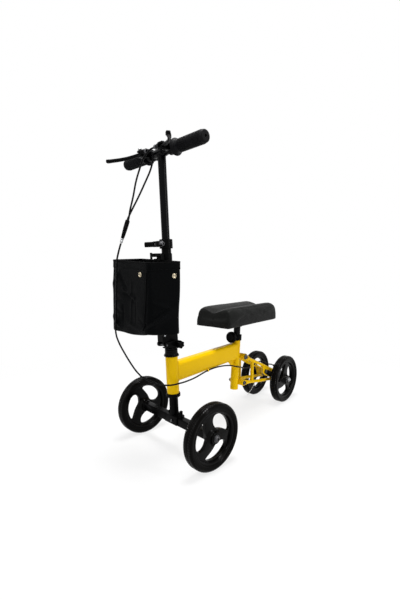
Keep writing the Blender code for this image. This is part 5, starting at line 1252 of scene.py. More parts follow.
# %% Column foot: saddle, gussets, tube and fold fork
saddle = brick((0.06, 0.0336, 0.0278), (0, 0, 0.0029), 0.0016, 3, FRONT_AXLE)
channel = brick((0.08, 0.0266, 0.046), (0, 0, -0.0097), 0.0012, 2, FRONT_AXLE)
webs = []
for side in (1, -1):
    drawn = eased([(side * 0.011, 0.0148), (side * 0.0292, 0.0148), (side * 0.0292, 0.0196, 0.002),
        (side * 0.018, 0.0285, 0.01), (side * 0.015, 0.0508, 0.001), (side * 0.011, 0.0508)], closed=True)
    webs.append(flat_plate([drawn if side > 0 else drawn[::-1]], 0.005, 0.0006, "XZ", 0.0, FRONT_AXLE))
column_foot = [rod(0.014, (0, 0, 0.0143), (0, 0, 0.2325), COLUMN, 64), saddle, *webs,
    rod(0.0052, (0.0325, 0, 0.01), (0.0325, 0, 0.0345), FRONT_AXLE, 32, 0.001),
    brick((0.012, 0.016, 0.006), (0.031, 0, 0.014), 0.0015, 2, FRONT_AXLE),
    brick((0.0386, 0.04, 0.004), (0, 0.002, 0.2335), 0.0012, 3, COLUMN),
    lathe([(0, 0.2294), (0.0185, 0.2294), (0.0185, 0.233), (0, 0.233)], "Z", COLUMN, 64)]
for side in (1, -1):
    column_foot.append(flat_plate([link_outline(FOLD_STOP, FOLD_PIVOT, 0.008, 0.0115)], 0.004, 0.0006,
        offset=side * 0.0173, place=COLUMN))
cuts = [channel, rod(0.0043, (0.006, -0.03, 0.001), (0.006, 0.03, 0.001), FRONT_AXLE, 24),
        crossing(0.0042, 0.04, FOLD_PIVOT, COLUMN), crossing(0.0032, 0.04, FOLD_STOP, COLUMN)]
show("steerer_welded", weld_up("steerer", column_foot, cuts, "satin_black_paint", 0.0011, 0.0017),
    "steering", "satin_black_paint", ["steerer"])
behind = FRONT_AXLE @ shift(0.006, 0.0171, 0.001) @ turn(-90, "X")
ahead = FRONT_AXLE @ shift(0.006, -0.0171, 0.001) @ turn(90, "X")
bolt = join(rod(0.004, (0.006, -0.019, 0.001), (0.006, 0.019, 0.001), FRONT_AXLE, 24),
    washer(0.01, 0.0041, 0.001, behind), domed_head(0.0092, 0.0068, behind @ shift(0, 0, 0.0009), 0.0036),
    threaded_end(0.0039, 0.0048, ahead @ shift(0, 0, -0.0002)))
show("saddle_bolt_set", bolt, "steering", "dark_steel", ["saddle_bolt"])
print("column foot done")

# %% [markdown]
# Above the head tube sits a turned skirt with a flared, shiny rim. The fold joint above it turns
# on a bolt with a small lobed knob, and a pin in front is where the column comes to rest
# when it is upright.

# %% Skirt, pivot bolt, stop pin and fold knob
skirt = turned_ring([(0.018, 0.2292, 0.0008), (0.0196, 0.228, 0.001), (0.0196, 0.2235, 0.0004),
    (0.0189, 0.223, 0.0003), (0.0189, 0.222, 0.0003), (0.0196, 0.2215, 0.0004), (0.0196, 0.216, 0.003),
    (0.0222, 0.212, 0.0016), (0.0232, 0.2104, 0.0008), (0.0232, 0.2078, 0.0006), (0.022, 0.2073, 0.0004),
    (0.0149, 0.2073, 0.0004), (0.0149, 0.2292, 0.0004)], "Z", COLUMN, 96)
show("headset_skirt", skirt, "steering", "rim_black", ["headset_cover"])
left_of = COLUMN @ shift(-0.0196, *FOLD_PIVOT) @ turn(-90, "Y")
pivot = join(rod(0.004, (-0.02, *FOLD_PIVOT), (0.0258, *FOLD_PIVOT), COLUMN, 24),
    washer(0.0088, 0.0041, 0.0009, left_of), domed_head(0.0074, 0.0052, left_of @ shift(0, 0, 0.0008),
    0.0028))
show("fold_pivot_set", pivot, "steering", "dark_steel", ["fold_pivot_bolt"])
pin = crossing(0.003, 0.0207, FOLD_STOP, COLUMN, 32, 0.0006)
show("fold_stop_rest", pin, "steering", "dark_steel", ["fold_stop_pin"])


def lobes(mean, swing, count):
    return lambda t: mean + swing * math.cos(count * t)


knob_line = [(0, 0.0), (0.0062, 0.0), (0.007, 0.0006), (0.0072, 0.003), (lobes(0.0092, 0.0008, 6), 0.0042),
    (lobes(0.0104, 0.0012, 6), 0.0058), (lobes(0.0108, 0.0015, 6), 0.008),
    (lobes(0.0108, 0.0015, 6), 0.0155), (lobes(0.0102, 0.0013, 6), 0.0178),
    (lobes(0.0088, 0.0009, 6), 0.0189), (0.0055, 0.0191), (0.0048, 0.0184), (0, 0.0184)]
show("fold_knob_lobed", lathe(knob_line, "Z", COLUMN @ shift(0.0196, *FOLD_PIVOT) @ turn(90, "Y"), 96),
    "hinge_knob", "moulded_black", ["fold_knob"], angle=45)
print("fold joint done")

# %% [markdown]
# The mast is the lower of two sliding tubes. Its foot is a pair of shaped plates that hook over
# the stop pin and close round the pivot, joined in front by a web. On top, a clamp ring with two
# ears, a cross bolt and a bent lever grips the inner tube.

# %% Mast and its clamp
yoke = [(-0.038, 0.292, 0.003), (-0.038, 0.246, 0.0015)]
yoke += [(-0.03 + 0.0034 * math.cos(math.radians(a)), 0.2485 + 0.0034 * math.sin(math.radians(a)))
    for a in range(180, -1, -20)]
yoke += [(-0.0266, 0.246), (-0.02, 0.246, 0.002), (-0.012, 0.2445)]
yoke += [(0.011 + 0.0095 * math.cos(math.radians(a)), 0.2455 + 0.0095 * math.sin(math.radians(a)))
    for a in range(-155, 54, 13)]
yoke += [(0.0165, 0.264, 0.004), (0.0155, 0.292, 0.003)]
yoke = eased(yoke, closed=True)
mast_parts = [rod(0.014, (0, 0, 0.256), (0, 0, 0.546), COLUMN, 64)]
for side in (1, -1):
    mast_parts.append(flat_plate([yoke], 0.0039, 0.0005, offset=side * 0.013, place=COLUMN))
mast_parts += [brick((0.029, 0.004, 0.034), (0, -0.0359, 0.2745), 0.0012, 3, COLUMN),
    crossing(0.0085, 0.0128, FOLD_PIVOT, COLUMN, 48)]
mast_cuts = [rod(0.01185, (0, 0, 0.276), (0, 0, 0.56), COLUMN, 64),
    crossing(0.0042, 0.04, FOLD_PIVOT, COLUMN)]
show("mast_welded", weld_up("mast", mast_parts, mast_cuts, "satin_black_paint", 0.0011, 0.0017),
    "mast_body", "satin_black_paint", ["mast"])
rivet = domed_head(0.003, 0.0016, COLUMN @ shift(0.015, -0.0325, 0.2775) @ turn(90, "Y"))
show("fold_plate_rivet", rivet, "mast_body", "bright_steel")
clamp_ring = turned_ring([(0.0182, 0.554, 0.0004), (0.019, 0.5525, 0.0006), (0.019, 0.528, 0.0006),
    (0.0143, 0.528, 0.0004), (0.0143, 0.5464, 0.0003), (0.0119, 0.5464, 0.0003), (0.0119, 0.554, 0.0003)],
    "Z", COLUMN, 96)
ears = brick((0.021, 0.015, 0.017), (0, -0.024, 0.541), 0.003, 4, COLUMN)
clamp_cuts = [brick((0.003, 0.03, 0.05), (0, -0.029, 0.541), 0.0001, 1, COLUMN),
    crossing(0.0033, 0.02, CLAMP_BOLT, COLUMN)]
show("clamp_ring", weld_up("clamp_ring", [clamp_ring, ears], clamp_cuts, "satin_black_paint", 0.0007,
    0.0012), "mast_body", "satin_black_paint", ["clamp_collar"])
nut_side = COLUMN @ shift(0.0108, *CLAMP_BOLT) @ turn(90, "Y")
skewer = join(rod(0.0029, (-0.018, *CLAMP_BOLT), (0.0125, *CLAMP_BOLT), COLUMN, 24),
    rod(0.0027, (-0.0183, -0.0245, 0.5332), (-0.0183, -0.0245, 0.5488), COLUMN, 24),
    washer(0.0086, 0.0031, 0.001, nut_side), domed_head(0.0082, 0.0076, nut_side @ shift(0, 0, 0.0009),
    0.0028))
show("clamp_skewer_set", skewer, "mast_body", "dark_steel", ["clamp_skewer"])
cam = COLUMN @ shift(-0.0183, *CLAMP_BOLT)
cheeks = [rod(0.007, (0, 0, z), (0, 0, z + 0.0042), cam, 48, 0.0005) for z in (-0.008, 0.0038)]
handle = smooth_line([(-0.0045, -0.001, 0), (-0.01, -0.002, 0), (-0.02, -0.005, 0), (-0.03, -0.009, 0),
    (-0.0368, -0.0122, 0)], 0.002)
flats = [(0.62 - 0.28 * n / len(handle), 1.55) for n in range(len(handle))]
blade = sweep(handle, 0.0048, 24, cam, 0.4, flats)
show("clamp_lever_bent", join(*cheeks, blade), "quick_release", "satin_black_paint", ["clamp_lever"],
    angle=40)
print("mast and clamp done")

# %% [markdown]
# The handlebar is a tee: the inner tube of the column, a crossbar, and a sleeve welded where they
# meet. The paint is glossy, so the tube shows two long streaks of light. The grips are moulded
# rubber with a wide flange for the thumb, and a tree sets a fine rib every three millimetres.

# %% Handlebar and grips
bar_parts = [rod(0.0115, (0, 0, -0.4067), (0, 0, -0.004), BAR, 64), crossing(0.011, 0.168, (0, 0), BAR, 64),
    lathe([(0, 0.021), (0.0113, 0.021), (0.0126, 0.016), (0.0126, -0.016), (0.0113, -0.021), (0, -0.021)],
    "X", BAR)]
show("handlebar_welded", weld_up("handlebar", bar_parts, [], "gloss_black_tube", 0.001, 0.0016), "stem",
    "gloss_black_tube", ["handlebar"])
for side, label in ((1, "left"), (-1, "right")):
    out = BAR @ turn(0 if side > 0 else 180, "Z")
    shell = lathe(eased([(0.0113, 0.0612), (0.0212, 0.0612, 0.0012), (0.0224, 0.063, 0.0016),
        (0.0212, 0.0652, 0.0018), (0.0176, 0.0675, 0.003), (0.0156, 0.077, 0.003), (0.0163, 0.125, 0.004),
        (0.016, 0.169, 0.001), (0.015, 0.1742, 0.003), (0.01, 0.175, 0.001), (0.0036, 0.175, 0.0006),
        (0.003, 0.17, 0.0004), (0, 0.17)]) + [Vector((0, 0.169)), Vector((0.0113, 0.169))], "X", out, 96,
        True)
    rib = turned_ring([(0.0158, -0.0011, 0.0004), (0.017, -0.0005, 0.0004), (0.017, 0.0005, 0.0004),
        (0.0158, 0.0011, 0.0004)], "X", steps=72)
    ribs = repeated(down_a_row, rib, "grip_rubber", Count=27, Start=(0.083, 0, 0), Step=(0.0031, 0, 0))
    ribs.transform(out)
    show(f"grip_{label}_ribbed", join(shell, ribs), "stem", "grip_rubber", [f"grip_{label}"])
print("handlebar done")

# %% [markdown]
# Each brake lever turns in a perch clamped round the bar. The perch is a casting: a split ring
# with a pinch bolt, a block with a slot for the lever, and a barrel that the cable comes out of.
# The barrel ends in a knurled adjuster. One function makes both sides, mirrored.

# %% Brake perches and levers
MIRROR = Matrix.Diagonal((-1, 1, 1, 1))
LEVER_PIVOT, PINCH_BOLT, BARREL = (0.048, -0.033), (0.048, 0.02), (-0.036, 0.003)


def flipped(mesh, side):
    """The piece for the right hand is the left one mirrored across the column."""
    if side < 0:
        mesh.transform(MIRROR)
        mesh.flip_normals()
    mesh.transform(BAR)
    return mesh


for side, label in ((1, "left"), (-1, "right")):
    ring = turned_ring([(0.0158, 0.04, 0.001), (0.0158, 0.056, 0.001), (0.0113, 0.056, 0.0004),
        (0.0113, 0.04, 0.0004)], "X", steps=72)
    block = brick((0.02, 0.032, 0.019), (0.047, -0.0275, 0.0005), 0.0035, 4)
    barrel = rod(0.0076, (0.043, *BARREL), (0.026, *BARREL), None, 48, 0.0008, 0.0056)
    pinch = brick((0.012, 0.011, 0.015), (0.048, 0.0182, 0), 0.0025, 3)
    slot = brick((0.03, 0.029, 0.0086), (0.0555, -0.0355, 0), 0.0004, 1)
    split = brick((0.03, 0.016, 0.0014), (*PINCH_BOLT, 0), 0.0001, 1)
    cast = weld_up("perch", [ring, block, barrel, pinch],
        [slot, split, rod(0.0031, (0.0177, *BARREL), (0.05, *BARREL), None, 24)], "moulded_black", 0.0006,
        0.001)
    show(f"brake_perch_{label}_cast", flipped(cast, side), "stem", "satin_black_paint",
        [f"brake_perch_{label}"])
    nut_line = [(0.0033, 0), (0.005, 0), (lobes(0.0057, 0.0003, 16), 0.001),
        (lobes(0.0057, 0.0003, 16), 0.0062), (0.005, 0.0072), (0.0033, 0.0072)]
    knurled = lathe(nut_line, "Z", shift(0.0184, *BARREL) @ turn(90, "Y"), 96, True)
    nut = hex_nut(0.0042, 0.003, 0.0033, shift(0.0258, *BARREL) @ turn(90, "Y"))
    pin = join(rod(0.0026, (*LEVER_PIVOT, -0.01), (*LEVER_PIVOT, 0.0108), None, 24),
        domed_head(0.0046, 0.0024, shift(*LEVER_PIVOT, 0.0102), 0.0018))
    bolt = join(rod(0.0024, (*PINCH_BOLT, -0.009), (*PINCH_BOLT, 0.009), None, 24),
        domed_head(0.0042, 0.0034, shift(*PINCH_BOLT, 0.0076), 0.0022))
    show(f"brake_perch_{label}_fittings", flipped(join(knurled, nut, pin, bolt), side), "stem",
        "dark_steel")
    reach = Vector((0.094, -0.052, -0.002)) if side > 0 else Vector((0.089, -0.055, -0.01))
    along = reach.normalized()
    across = Vector((-along.y, along.x, 0))
    bow = [(0, 0), (0.12, 0.002), (0.3, 0.006), (0.5, 0.0075), (0.7, 0.005), (0.88, 0), (0.955, -0.002)]
    centre = smooth_line([Vector((*LEVER_PIVOT, 0)) + reach * s + across * b for s, b in bow], 0.003)
    wide = [1.16 - 0.42 * math.sin(math.pi * min(1, n / len(centre) * 1.15)) for n in range(len(centre))]
    blade = sweep(centre, 0.0054, 24, None, 0.3, [(w, 0.92) for w in wide])
    boss = rod(0.0066, (*LEVER_PIVOT, -0.004), (*LEVER_PIVOT, 0.004), None, 48, 0.0008)
    tip = Vector((*LEVER_PIVOT, 0)) + reach + across * -0.003
    square = brick((0.0125, 0.0112, 0.0094), (0, 0, 0), 0.0026, 4,
        shift(*(tip - along * 0.003)) @ turn(math.degrees(math.atan2(along.y, along.x)), "Z"))
    show(f"brake_lever_{label}_bent", flipped(join(blade, boss, square), side), f"lever_{label}",
        "satin_black_paint", [f"brake_lever_{label}"], angle=40)
button = join(rod(0.002, (-0.065, -0.026, 0.0088), (-0.065, -0.026, 0.017), BAR, 24),
    lathe(eased([(0, 0.016), (0.0046, 0.016, 0.0006), (0.0056, 0.0172, 0.0006), (0.0056, 0.0188, 0.0006),
    (0.0048, 0.0196, 0.0006), (0, 0.0198)]), "Z", BAR @ shift(-0.065, -0.026, 0), 48))
show("park_button_pin", button, "parking_button", "bright_steel", ["park_button"])
print("brake controls done")

# %% [markdown]
# Two brake cables come out of the perches, bow forward and meet in a small joint, and one cable
# goes on down the column, under the skirt and along the main tube to the drum. Each run is laid
# through points read off the photograph, with straight ends where it enters a fitting.

# %% The line of each cable
JOINT_TOP, JOINT_END = Vector((-0.0308, -0.103, -0.1813)), Vector((-0.0388, -0.1191, -0.2291))
DOWN = (JOINT_END - JOINT_TOP).normalized()
ASIDE = Vector((0.62, -0.78, 0))
ASIDE = (ASIDE - DOWN * ASIDE.dot(DOWN)).normalized()


def laid(line, start, leave, knots, end, arrive):
    """Even points of a cable from start to end, straight for a little way at both."""
    straight, space = 0.006, 0.004
    start, end = Vector(start), Vector(end)
    first = start + Vector(leave).normalized() * straight
    last = end - Vector(arrive).normalized() * straight
    return [line @ p for p in [start, *smooth_line([first, *knots, last], space), end]]


def length_of(points):
    return sum((q - p).length for p, q in zip(points, points[1:]))


left_points = laid(BAR, (0.0177, *BARREL), (-1, 0, 0),
    [(0.002, -0.04, 0), (-0.008, -0.045, -0.0085), (-0.018, -0.049, -0.019), (-0.03, -0.053, -0.04),
    (-0.0365, -0.065, -0.077), (-0.034, -0.079, -0.118), (-0.031, -0.0935, -0.154)],
    JOINT_TOP - DOWN * 0.0003 - ASIDE * 0.0029, DOWN)
right_points = laid(BAR, (-0.0177, -0.036, 0.003), (1, 0, 0),
    [(-0.006, -0.0345, 0.001), (0, -0.0325, -0.005), (0.0012, -0.031, -0.014), (-0.0035, -0.03, -0.029),
    (-0.0135, -0.0325, -0.05), (-0.0235, -0.0445, -0.08), (-0.0295, -0.064, -0.117),
    (-0.0335, -0.0865, -0.154)], JOINT_TOP - DOWN * 0.0003 + ASIDE * 0.0029, DOWN)
BAG_FOOT, PAST_FOOT = Vector((-0.087, -0.1346, 0.2949)), Vector((-0.05, 0.05, -1)).normalized()
COLUMN_END, PAST_COLUMN = Vector((-0.0333, -0.0876, 0.1536)), Vector((0.78, 0.46, -0.42)).normalized()
middle_points = laid(COLUMN, Vector((-0.041, -0.1235, 0.5447)) + DOWN * 0.0003, DOWN,
    [(-0.0485, -0.129, 0.52), (-0.0548, -0.1315, 0.5002), (-0.0611, -0.1328, 0.4585),
    (-0.0693, -0.1336, 0.4019), (-0.0788, -0.1342, 0.3434)], BAG_FOOT, PAST_FOOT)
lower_points = laid(COLUMN, BAG_FOOT + PAST_FOOT * 0.0003, PAST_FOOT,
    [(-0.0868, -0.1325, 0.2763), (-0.0815, -0.1275, 0.254), (-0.0755, -0.1191, 0.2299),
    (-0.0666, -0.1092, 0.2027), (-0.0515, -0.0988, 0.174)], COLUMN_END, PAST_COLUMN)
to_ground = GROUND.inverted() @ COLUMN
rear_knots = [(-0.0139, -0.074, 0.2338), (0.0009, -0.066, 0.2293), (0.015, -0.056, 0.2272),
    (0.027, -0.038, 0.2255), (0.033, -0.012, 0.225), (0.032, 0.02, 0.223), (0.026, 0.07, 0.222),
    (0.0212, 0.141, 0.229)]
rear_knots += [(x, 0.329 + d, z) for x, d, z in ((0.02, -0.129, 0.2285), (0.02, -0.065, 0.2196),
    (0.0205, -0.007, 0.202), (0.014, 0.025, 0.1915), (0.0125, 0.046, 0.1835), (0.015, 0.073, 0.1795),
    (0.019, 0.099, 0.1835), (0.023, 0.117, 0.1912), (0.029, 0.132, 0.1955), (0.0355, 0.148, 0.1925),
    (0.04, 0.164, 0.185), (0.0432, 0.183, 0.1765))]
TIP, BACK = Vector((0.04585, 0.5515, 0.16264)), Vector((0, -0.92, 0.39)).normalized()
heading = (to_ground.to_3x3() @ PAST_COLUMN).normalized()
rear_points = laid(GROUND, to_ground @ (COLUMN_END + PAST_COLUMN * 0.0003), heading,
    [*rear_knots, TIP + BACK * 0.025], TIP + BACK * 0.0051, -BACK)

print("rear cable has", len(rear_points), "points")

# %% [markdown]
# Each run becomes a tube of even thickness. A cable on one body rides on it, a cable that spans two
# moving bodies stays fixed where it is drawn, and each one prints how long it is.

# %% Cables as real tubes
for name, points, stands_for, bodies in (("cable_left", left_points, "brake_cable_left", ["stem"]),
        ("cable_right", right_points, "brake_cable_right", ["stem"]),
        ("cable_middle", middle_points, "brake_cable_middle", ["stem", "mast_body"]),
        ("cable_lower", lower_points, "brake_cable_lower", ["mast_body", "steering"]),
        ("cable_rear", rear_points, "brake_cable_rear", ["steering", "frame"])):
    tube = show(name, sweep(points, 0.0025, 16, None, 0.2), bodies[0], "cable_housing", [stands_for],
        ride=len(bodies) == 1)
    if len(bodies) == 2:
        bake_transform(tube)
    long = length_of(points)
    print(name, round(long, 4), "m long")

# %% [markdown]
# The joint where two cables become one is a moulded sleeve with fine ribs, closed below by a
# bright crimped ferrule with two rings. A small eyelet welded to the main tube guides the cable.
# Past the drum's arm a short end of bare wire hangs free, as the mechanic left it.

# %% Cable joint, eyelet and wire end
upright = BAR @ shift(*JOINT_TOP) @ DOWN.to_track_quat("Z", "Y").to_matrix().to_4x4()
long = (JOINT_END - JOINT_TOP).length
sleeve_line = eased([(0, 0.0), (0.0052, 0.0, 0.0006), (0.006, 0.003, 0.001), (0.006, long * 0.45, 0.002),
    (0.0046, long - 0.002, 0.001), (0.004, long, 0.0004), (0, long)])
rib = turned_ring([(0.004, -0.0008, 0.0003), (0.0063, -0.0004, 0.0003), (0.0063, 0.0004, 0.0003),
    (0.004, 0.0008, 0.0003)], steps=40)
ribs = repeated(down_a_row, rib, "moulded_black", Count=8, Start=(0, 0, 0.0035), Step=(0, 0, 0.0027))
ribs.transform(upright)
show("cable_joint_sleeve", join(lathe(sleeve_line, "Z", upright, 48), ribs), "stem", "moulded_black",
    ["cable_junction"])
crimp = eased([(0.0026, long + 0.0003), (0.0042, long + 0.0003, 0.0004), (0.0042, long + 0.0032, 0.0006),
    (0.0034, long + 0.0042, 0.0004), (0.0034, long + 0.006, 0.0004), (0.004, long + 0.0072, 0.0006),
    (0.004, long + 0.0098, 0.0006), (0.0031, long + 0.0128, 0.0004), (0.0026, long + 0.0128, 0.0002)],
    closed=True)
show("cable_joint_ferrule", lathe(crimp, "Z", upright, 48, True), "stem", "bright_steel")
at = (0.0212, 0.141, 0.229)
eyelet = turned_ring([(0.003, -0.0026, 0.0006), (0.0044, -0.0026, 0.0008), (0.0044, 0.0026, 0.0008),
    (0.003, 0.0026, 0.0006)], "Y", GROUND @ shift(*at), 40)
tab = brick((0.003, 0.0046, 0.0052), (0.0178, 0.141, 0.23), 0.0008, 2, GROUND)
show("cable_eyelet", join(eyelet, tab), "frame", "yellow_enamel", ["cable_clip"])
loose_wire = [GROUND @ p for p in smooth_line([(0.0336, 0.42, 0.119), (0.0336, 0.4146, 0.1087),
    (0.0338, 0.4, 0.0985), (0.034, 0.385, 0.0885), (0.0342, 0.3725, 0.0795)], 0.003)]
wire_end = show("cable_end_wire", sweep(loose_wire, 0.0009, 12, None, 0.2), "frame", "bright_steel")
print("cable joint done")

# %% [markdown]
# The bag hangs from a small bracket: a ring pressed on the column with an arm, two ribs, a loop
# and an upturned hook. It is a moulding, so its edges are round.

# %% Bag bracket
hold = [turned_ring([(0.016, 0.488, 0.0006), (0.016, 0.514, 0.0006), (0.0143, 0.514, 0.0003),
    (0.0143, 0.488, 0.0003)], "Z", COLUMN, 72), brick((0.02, 0.015, 0.026), (0, -0.0225, 0.501), 0.002, 3,
    COLUMN), brick((0.018, 0.033, 0.0046), (0, -0.033, 0.5085), 0.0014, 3, COLUMN),
    brick((0.017, 0.02, 0.011), (0, -0.031, 0.495), 0.0016, 3, COLUMN),
    *[brick((0.003, 0.03, 0.01), (x, -0.033, 0.51), 0.0008, 2, COLUMN) for x in (0.006, -0.006)],
    rod(0.0055, (0, -0.05, 0.5055), (0, -0.05, 0.512), COLUMN, 48, 0.001),
    brick((0.008, 0.0036, 0.03), (0, -0.0545, 0.502), 0.0012, 3, COLUMN)]
show("bag_bracket_moulded", weld_up("bag_bracket", hold,
    [rod(0.003, (0, -0.049, 0.495), (0, -0.049, 0.516), COLUMN, 32)], "moulded_black", 0.0006, 0.001),
    "mast_body", "moulded_black", ["bag_bracket"])
print("bracket made of", len(hold), "shapes")

# %% [markdown]
# The bag is nylon sewn into a box with an open top. It is lofted here from rings of points. Each
# ring is a rounded rectangle whose corners are read off the photograph: the bag hangs plumb while
# the column leans, it spreads near the bottom, and its near corner is drawn up. Soft creases and
# a slow ripple are added along the surface normal, and the same rings run back down inside.

# %% Bag cloth
TOP_CORNERS = [(-0.0965, -0.1215), (0.085, -0.1262), (0.095, -0.0262), (-0.0905, -0.0262)]
LOW_CORNERS = [(-0.119, -0.13), (0.081, -0.1295), (0.0965, -0.0355), (-0.096, -0.036)]
ROUND_COUNT = 200
CREASES = [(0.066, 0.42, 0.128, 0.398, 0.006, 0.0046), (0.074, 0.408, 0.13, 0.386, -0.0048, 0.005),
    (0.046, 0.462, 0.092, 0.408, -0.0036, 0.007), (0.07, 0.372, 0.076, 0.318, -0.004, 0.004),
    (0.11, 0.44, 0.112, 0.33, 0.0026, 0.004), (0.135, 0.4, 0.138, 0.33, -0.0024, 0.0036),
    (0.176, 0.308, 0.268, 0.356, 0.006, 0.007), (0.19, 0.33, 0.27, 0.374, -0.0046, 0.0055),
    (0.205, 0.386, 0.262, 0.366, 0.0036, 0.005), (0.018, 0.338, 0.062, 0.308, 0.0052, 0.0055),
    (0.03, 0.362, 0.072, 0.35, -0.004, 0.0042), (0.01, 0.43, 0.045, 0.47, 0.0036, 0.0065),
    (0.09, 0.33, 0.16, 0.312, 0.0034, 0.006), (0.15, 0.345, 0.205, 0.318, -0.0036, 0.0055),
    (0.02, 0.4, 0.06, 0.385, -0.003, 0.006), (0.33, 0.44, 0.4, 0.33, 0.004, 0.008)]


def cloth_ring(rise, inward):
    """Points of one ring: rise is 0 at the bottom and 1 at the hem."""
    low = 1 - rise
    corners = [tuple(a * rise + b * low for a, b in zip(top, foot))
        for top, foot in zip(TOP_CORNERS, LOW_CORNERS)]
    outline = eased([(*c, 0.01 + 0.012 * low ** 2) for c in corners], 8, True)
    outline.append(outline[0])
    runs = np.concatenate([[0], np.cumsum([(q - p).length for p, q in zip(outline, outline[1:])])])
    spots = np.linspace(0, runs[-1], ROUND_COUNT, endpoint=False)
    x, y = np.interp(spots, runs, [p.x for p in outline]), np.interp(spots, runs, [p.y for p in outline])
    near = np.clip((x + 0.02) / 0.09, 0, 1) ** 2 * np.clip((-0.06 - y) / 0.065, 0, 1)
    z = 0.2945 + 0.2005 * rise + near * 0.0085 * low ** 3 - x * 0.055 * rise
    normal = np.stack([np.roll(y, -1) - np.roll(y, 1), np.roll(x, 1) - np.roll(x, -1)], 1)
    normal /= np.linalg.norm(normal, axis=1, keepdims=True)
    swell = 0.0016 * np.sin(spots * 38 + rise * 3) * math.sin(math.pi * rise) + 0.0012 * np.sin(spots * 71
        + rise * 9) * low
    for s0, z0, s1, z1, height, width in CREASES:
        t = np.clip(((spots - s0) * (s1 - s0) + (z - z0) * (z1 - z0)) / ((s1 - s0) ** 2 + (z1 - z0) ** 2),
            0, 1)
        gap = np.hypot(spots - s0 - t * (s1 - s0), z - z0 - t * (z1 - z0))
        swell += height * 0.8 * np.exp(-(gap / width) ** 2) * np.sin(math.pi * (0.15 + 0.7 * t))
    swell = np.where(y > -0.05, np.minimum(swell, 0.0008), swell) - inward
    return np.stack([x + normal[:, 0] * swell, y + normal[:, 1] * swell, z], 1), spots


def loft(rows):
    """A closed skin over rings of points, with a flat UV map in metres."""
    shape = bmesh.new()
    sheet = shape.loops.layers.uv.new("length")
    rings, flat, height = [], [], 0.0
    for n, (points, spots) in enumerate(rows):
        height += float(np.linalg.norm(points[0] - rows[n - 1][0][0])) if n else 0.0
        rings.append([shape.verts.new(COLUMN @ Vector(p)) for p in points])
        flat.append([(float(s), height) for s in spots] + [(float(spots[-1] * 2 - spots[-2]), height)])
    for n in range(len(rings) - 1):
        for k in range(ROUND_COUNT):
            m = (k + 1) % ROUND_COUNT
            face = shape.faces.new((rings[n][k], rings[n][m], rings[n + 1][m], rings[n + 1][k]))
            for loop, uv in zip(face.loops, (flat[n][k], flat[n][k + 1], flat[n + 1][k + 1],
                    flat[n + 1][k])):
                loop[sheet].uv = uv
    for ring in (rings[0], rings[-1]):
        face = shape.faces.new(ring)
        for loop in face.loops:
            loop[sheet].uv = (loop.vert.co.x, loop.vert.co.y)
    return solid_mesh(shape)


def tucked(rise, share, inward=0.0, lift=0.0):
    """A ring drawn towards its middle, for the floor of the bag."""
    points, spots = cloth_ring(rise, inward)
    middle = points.mean(0)
    points[:, :2] = middle[:2] + (points[:, :2] - middle[:2]) * share
    points[:, 2] += lift
    return points, spots


rows = [tucked(0, s, 0, h) for s, h in ((0.55, 0.0014), (0.8, 0.0004), (0.93, 0.0), (0.985, 0.0014))]
rows += [cloth_ring(max(0.012, n / 56), 0.0) for n in range(1, 51)]
rows += [cloth_ring(r, i) for r, i in ((0.9, -0.0002), (0.904, -0.0012), (0.93, -0.0013), (0.96, -0.0013),
    (0.985, -0.0013), (0.997, -0.001), (1.0, 0.0), (0.999, 0.0012), (0.985, 0.0016))]
rows += [cloth_ring(n / 20, 0.0022) for n in range(19, 0, -1)] + [tucked(0.05, s, 0.003, -0.002 * (1 - s))
    for s in (0.9, 0.5)]
show("bag_shell", loft(rows), "mast_body", "bag_cloth", ["bag"], angle=60)
print("bag is lofted from", len(rows), "rings")

# %% [markdown]
# Sewing comes last: a rolled edge on the hem, two rows of stitches under it, a seam down the near
# corner, and snaps on the front and the side. The tree `along_a_line` walks the needle.

# %% Binding, stitches and snaps
def ring_path(rise, out):
    """Every second point of the ring at this height, a little outside the cloth."""
    return [COLUMN @ Vector(p) for p in cloth_ring(rise, -out)[0][::2]]


edge = ring_path(0.9985, 0.0004)
edge = smooth_line(edge + edge[:1], 0.004)
show("bag_binding_roll", sweep(edge, 0.0019, 12, None, 0.2, [(1.0, 1.25)] * len(edge)), "mast_body",
    "bag_binding", angle=60)


THREAD_WIDE, STITCH_LONG, STITCH_SPACE = 0.0005, 0.003, 0.0042


def stitched(points):
    """Small thread stitches set along a line of points."""
    track = bpy.data.meshes.new("track")
    track.from_pydata([tuple(p) for p in points], [(n, n + 1) for n in range(len(points) - 1)], [])
    path = placed("track", track)
    stitch = brick((THREAD_WIDE, THREAD_WIDE, STITCH_LONG), (0, 0, 0), 0.0002, 1)
    made = repeated(along_a_line, stitch, "thread", Path=path, Spacing=STITCH_SPACE)
    clear_bench(path)
    return made


corner = int(np.argmin([abs(p[0] - 0.0735) + (p[1] > -0.11) for p in cloth_ring(0.7, 0)[0]]))
seam = [COLUMN @ Vector(cloth_ring(r / 40, -0.0004)[0][corner]) for r in range(3, 36)]
show("bag_corner_seam", sweep(seam, 0.0013, 12), "mast_body", "bag_binding", angle=60)
sewn = [stitched(ring_path(r, 0.0016)) for r in (0.908, 0.985)]
sewn += [stitched([COLUMN @ Vector(cloth_ring(r / 40, -0.0005)[0][corner + side]) for r in range(2, 36)])
    for side in (-3, 3)]
show("bag_stitches", join(*sewn), "mast_body", "thread")
snap_line = eased([(0, -0.0006), (0.0056, -0.0006), (0.0066, 0.0004, 0.0004), (0.0066, 0.0014, 0.0006),
    (0.0058, 0.0022, 0.0005), (0.0044, 0.0018, 0.0004), (0.0036, 0.001, 0.0004), (0.0024, 0.001, 0.0003),
    (0.0016, 0.002, 0.0004), (0, 0.0022)])
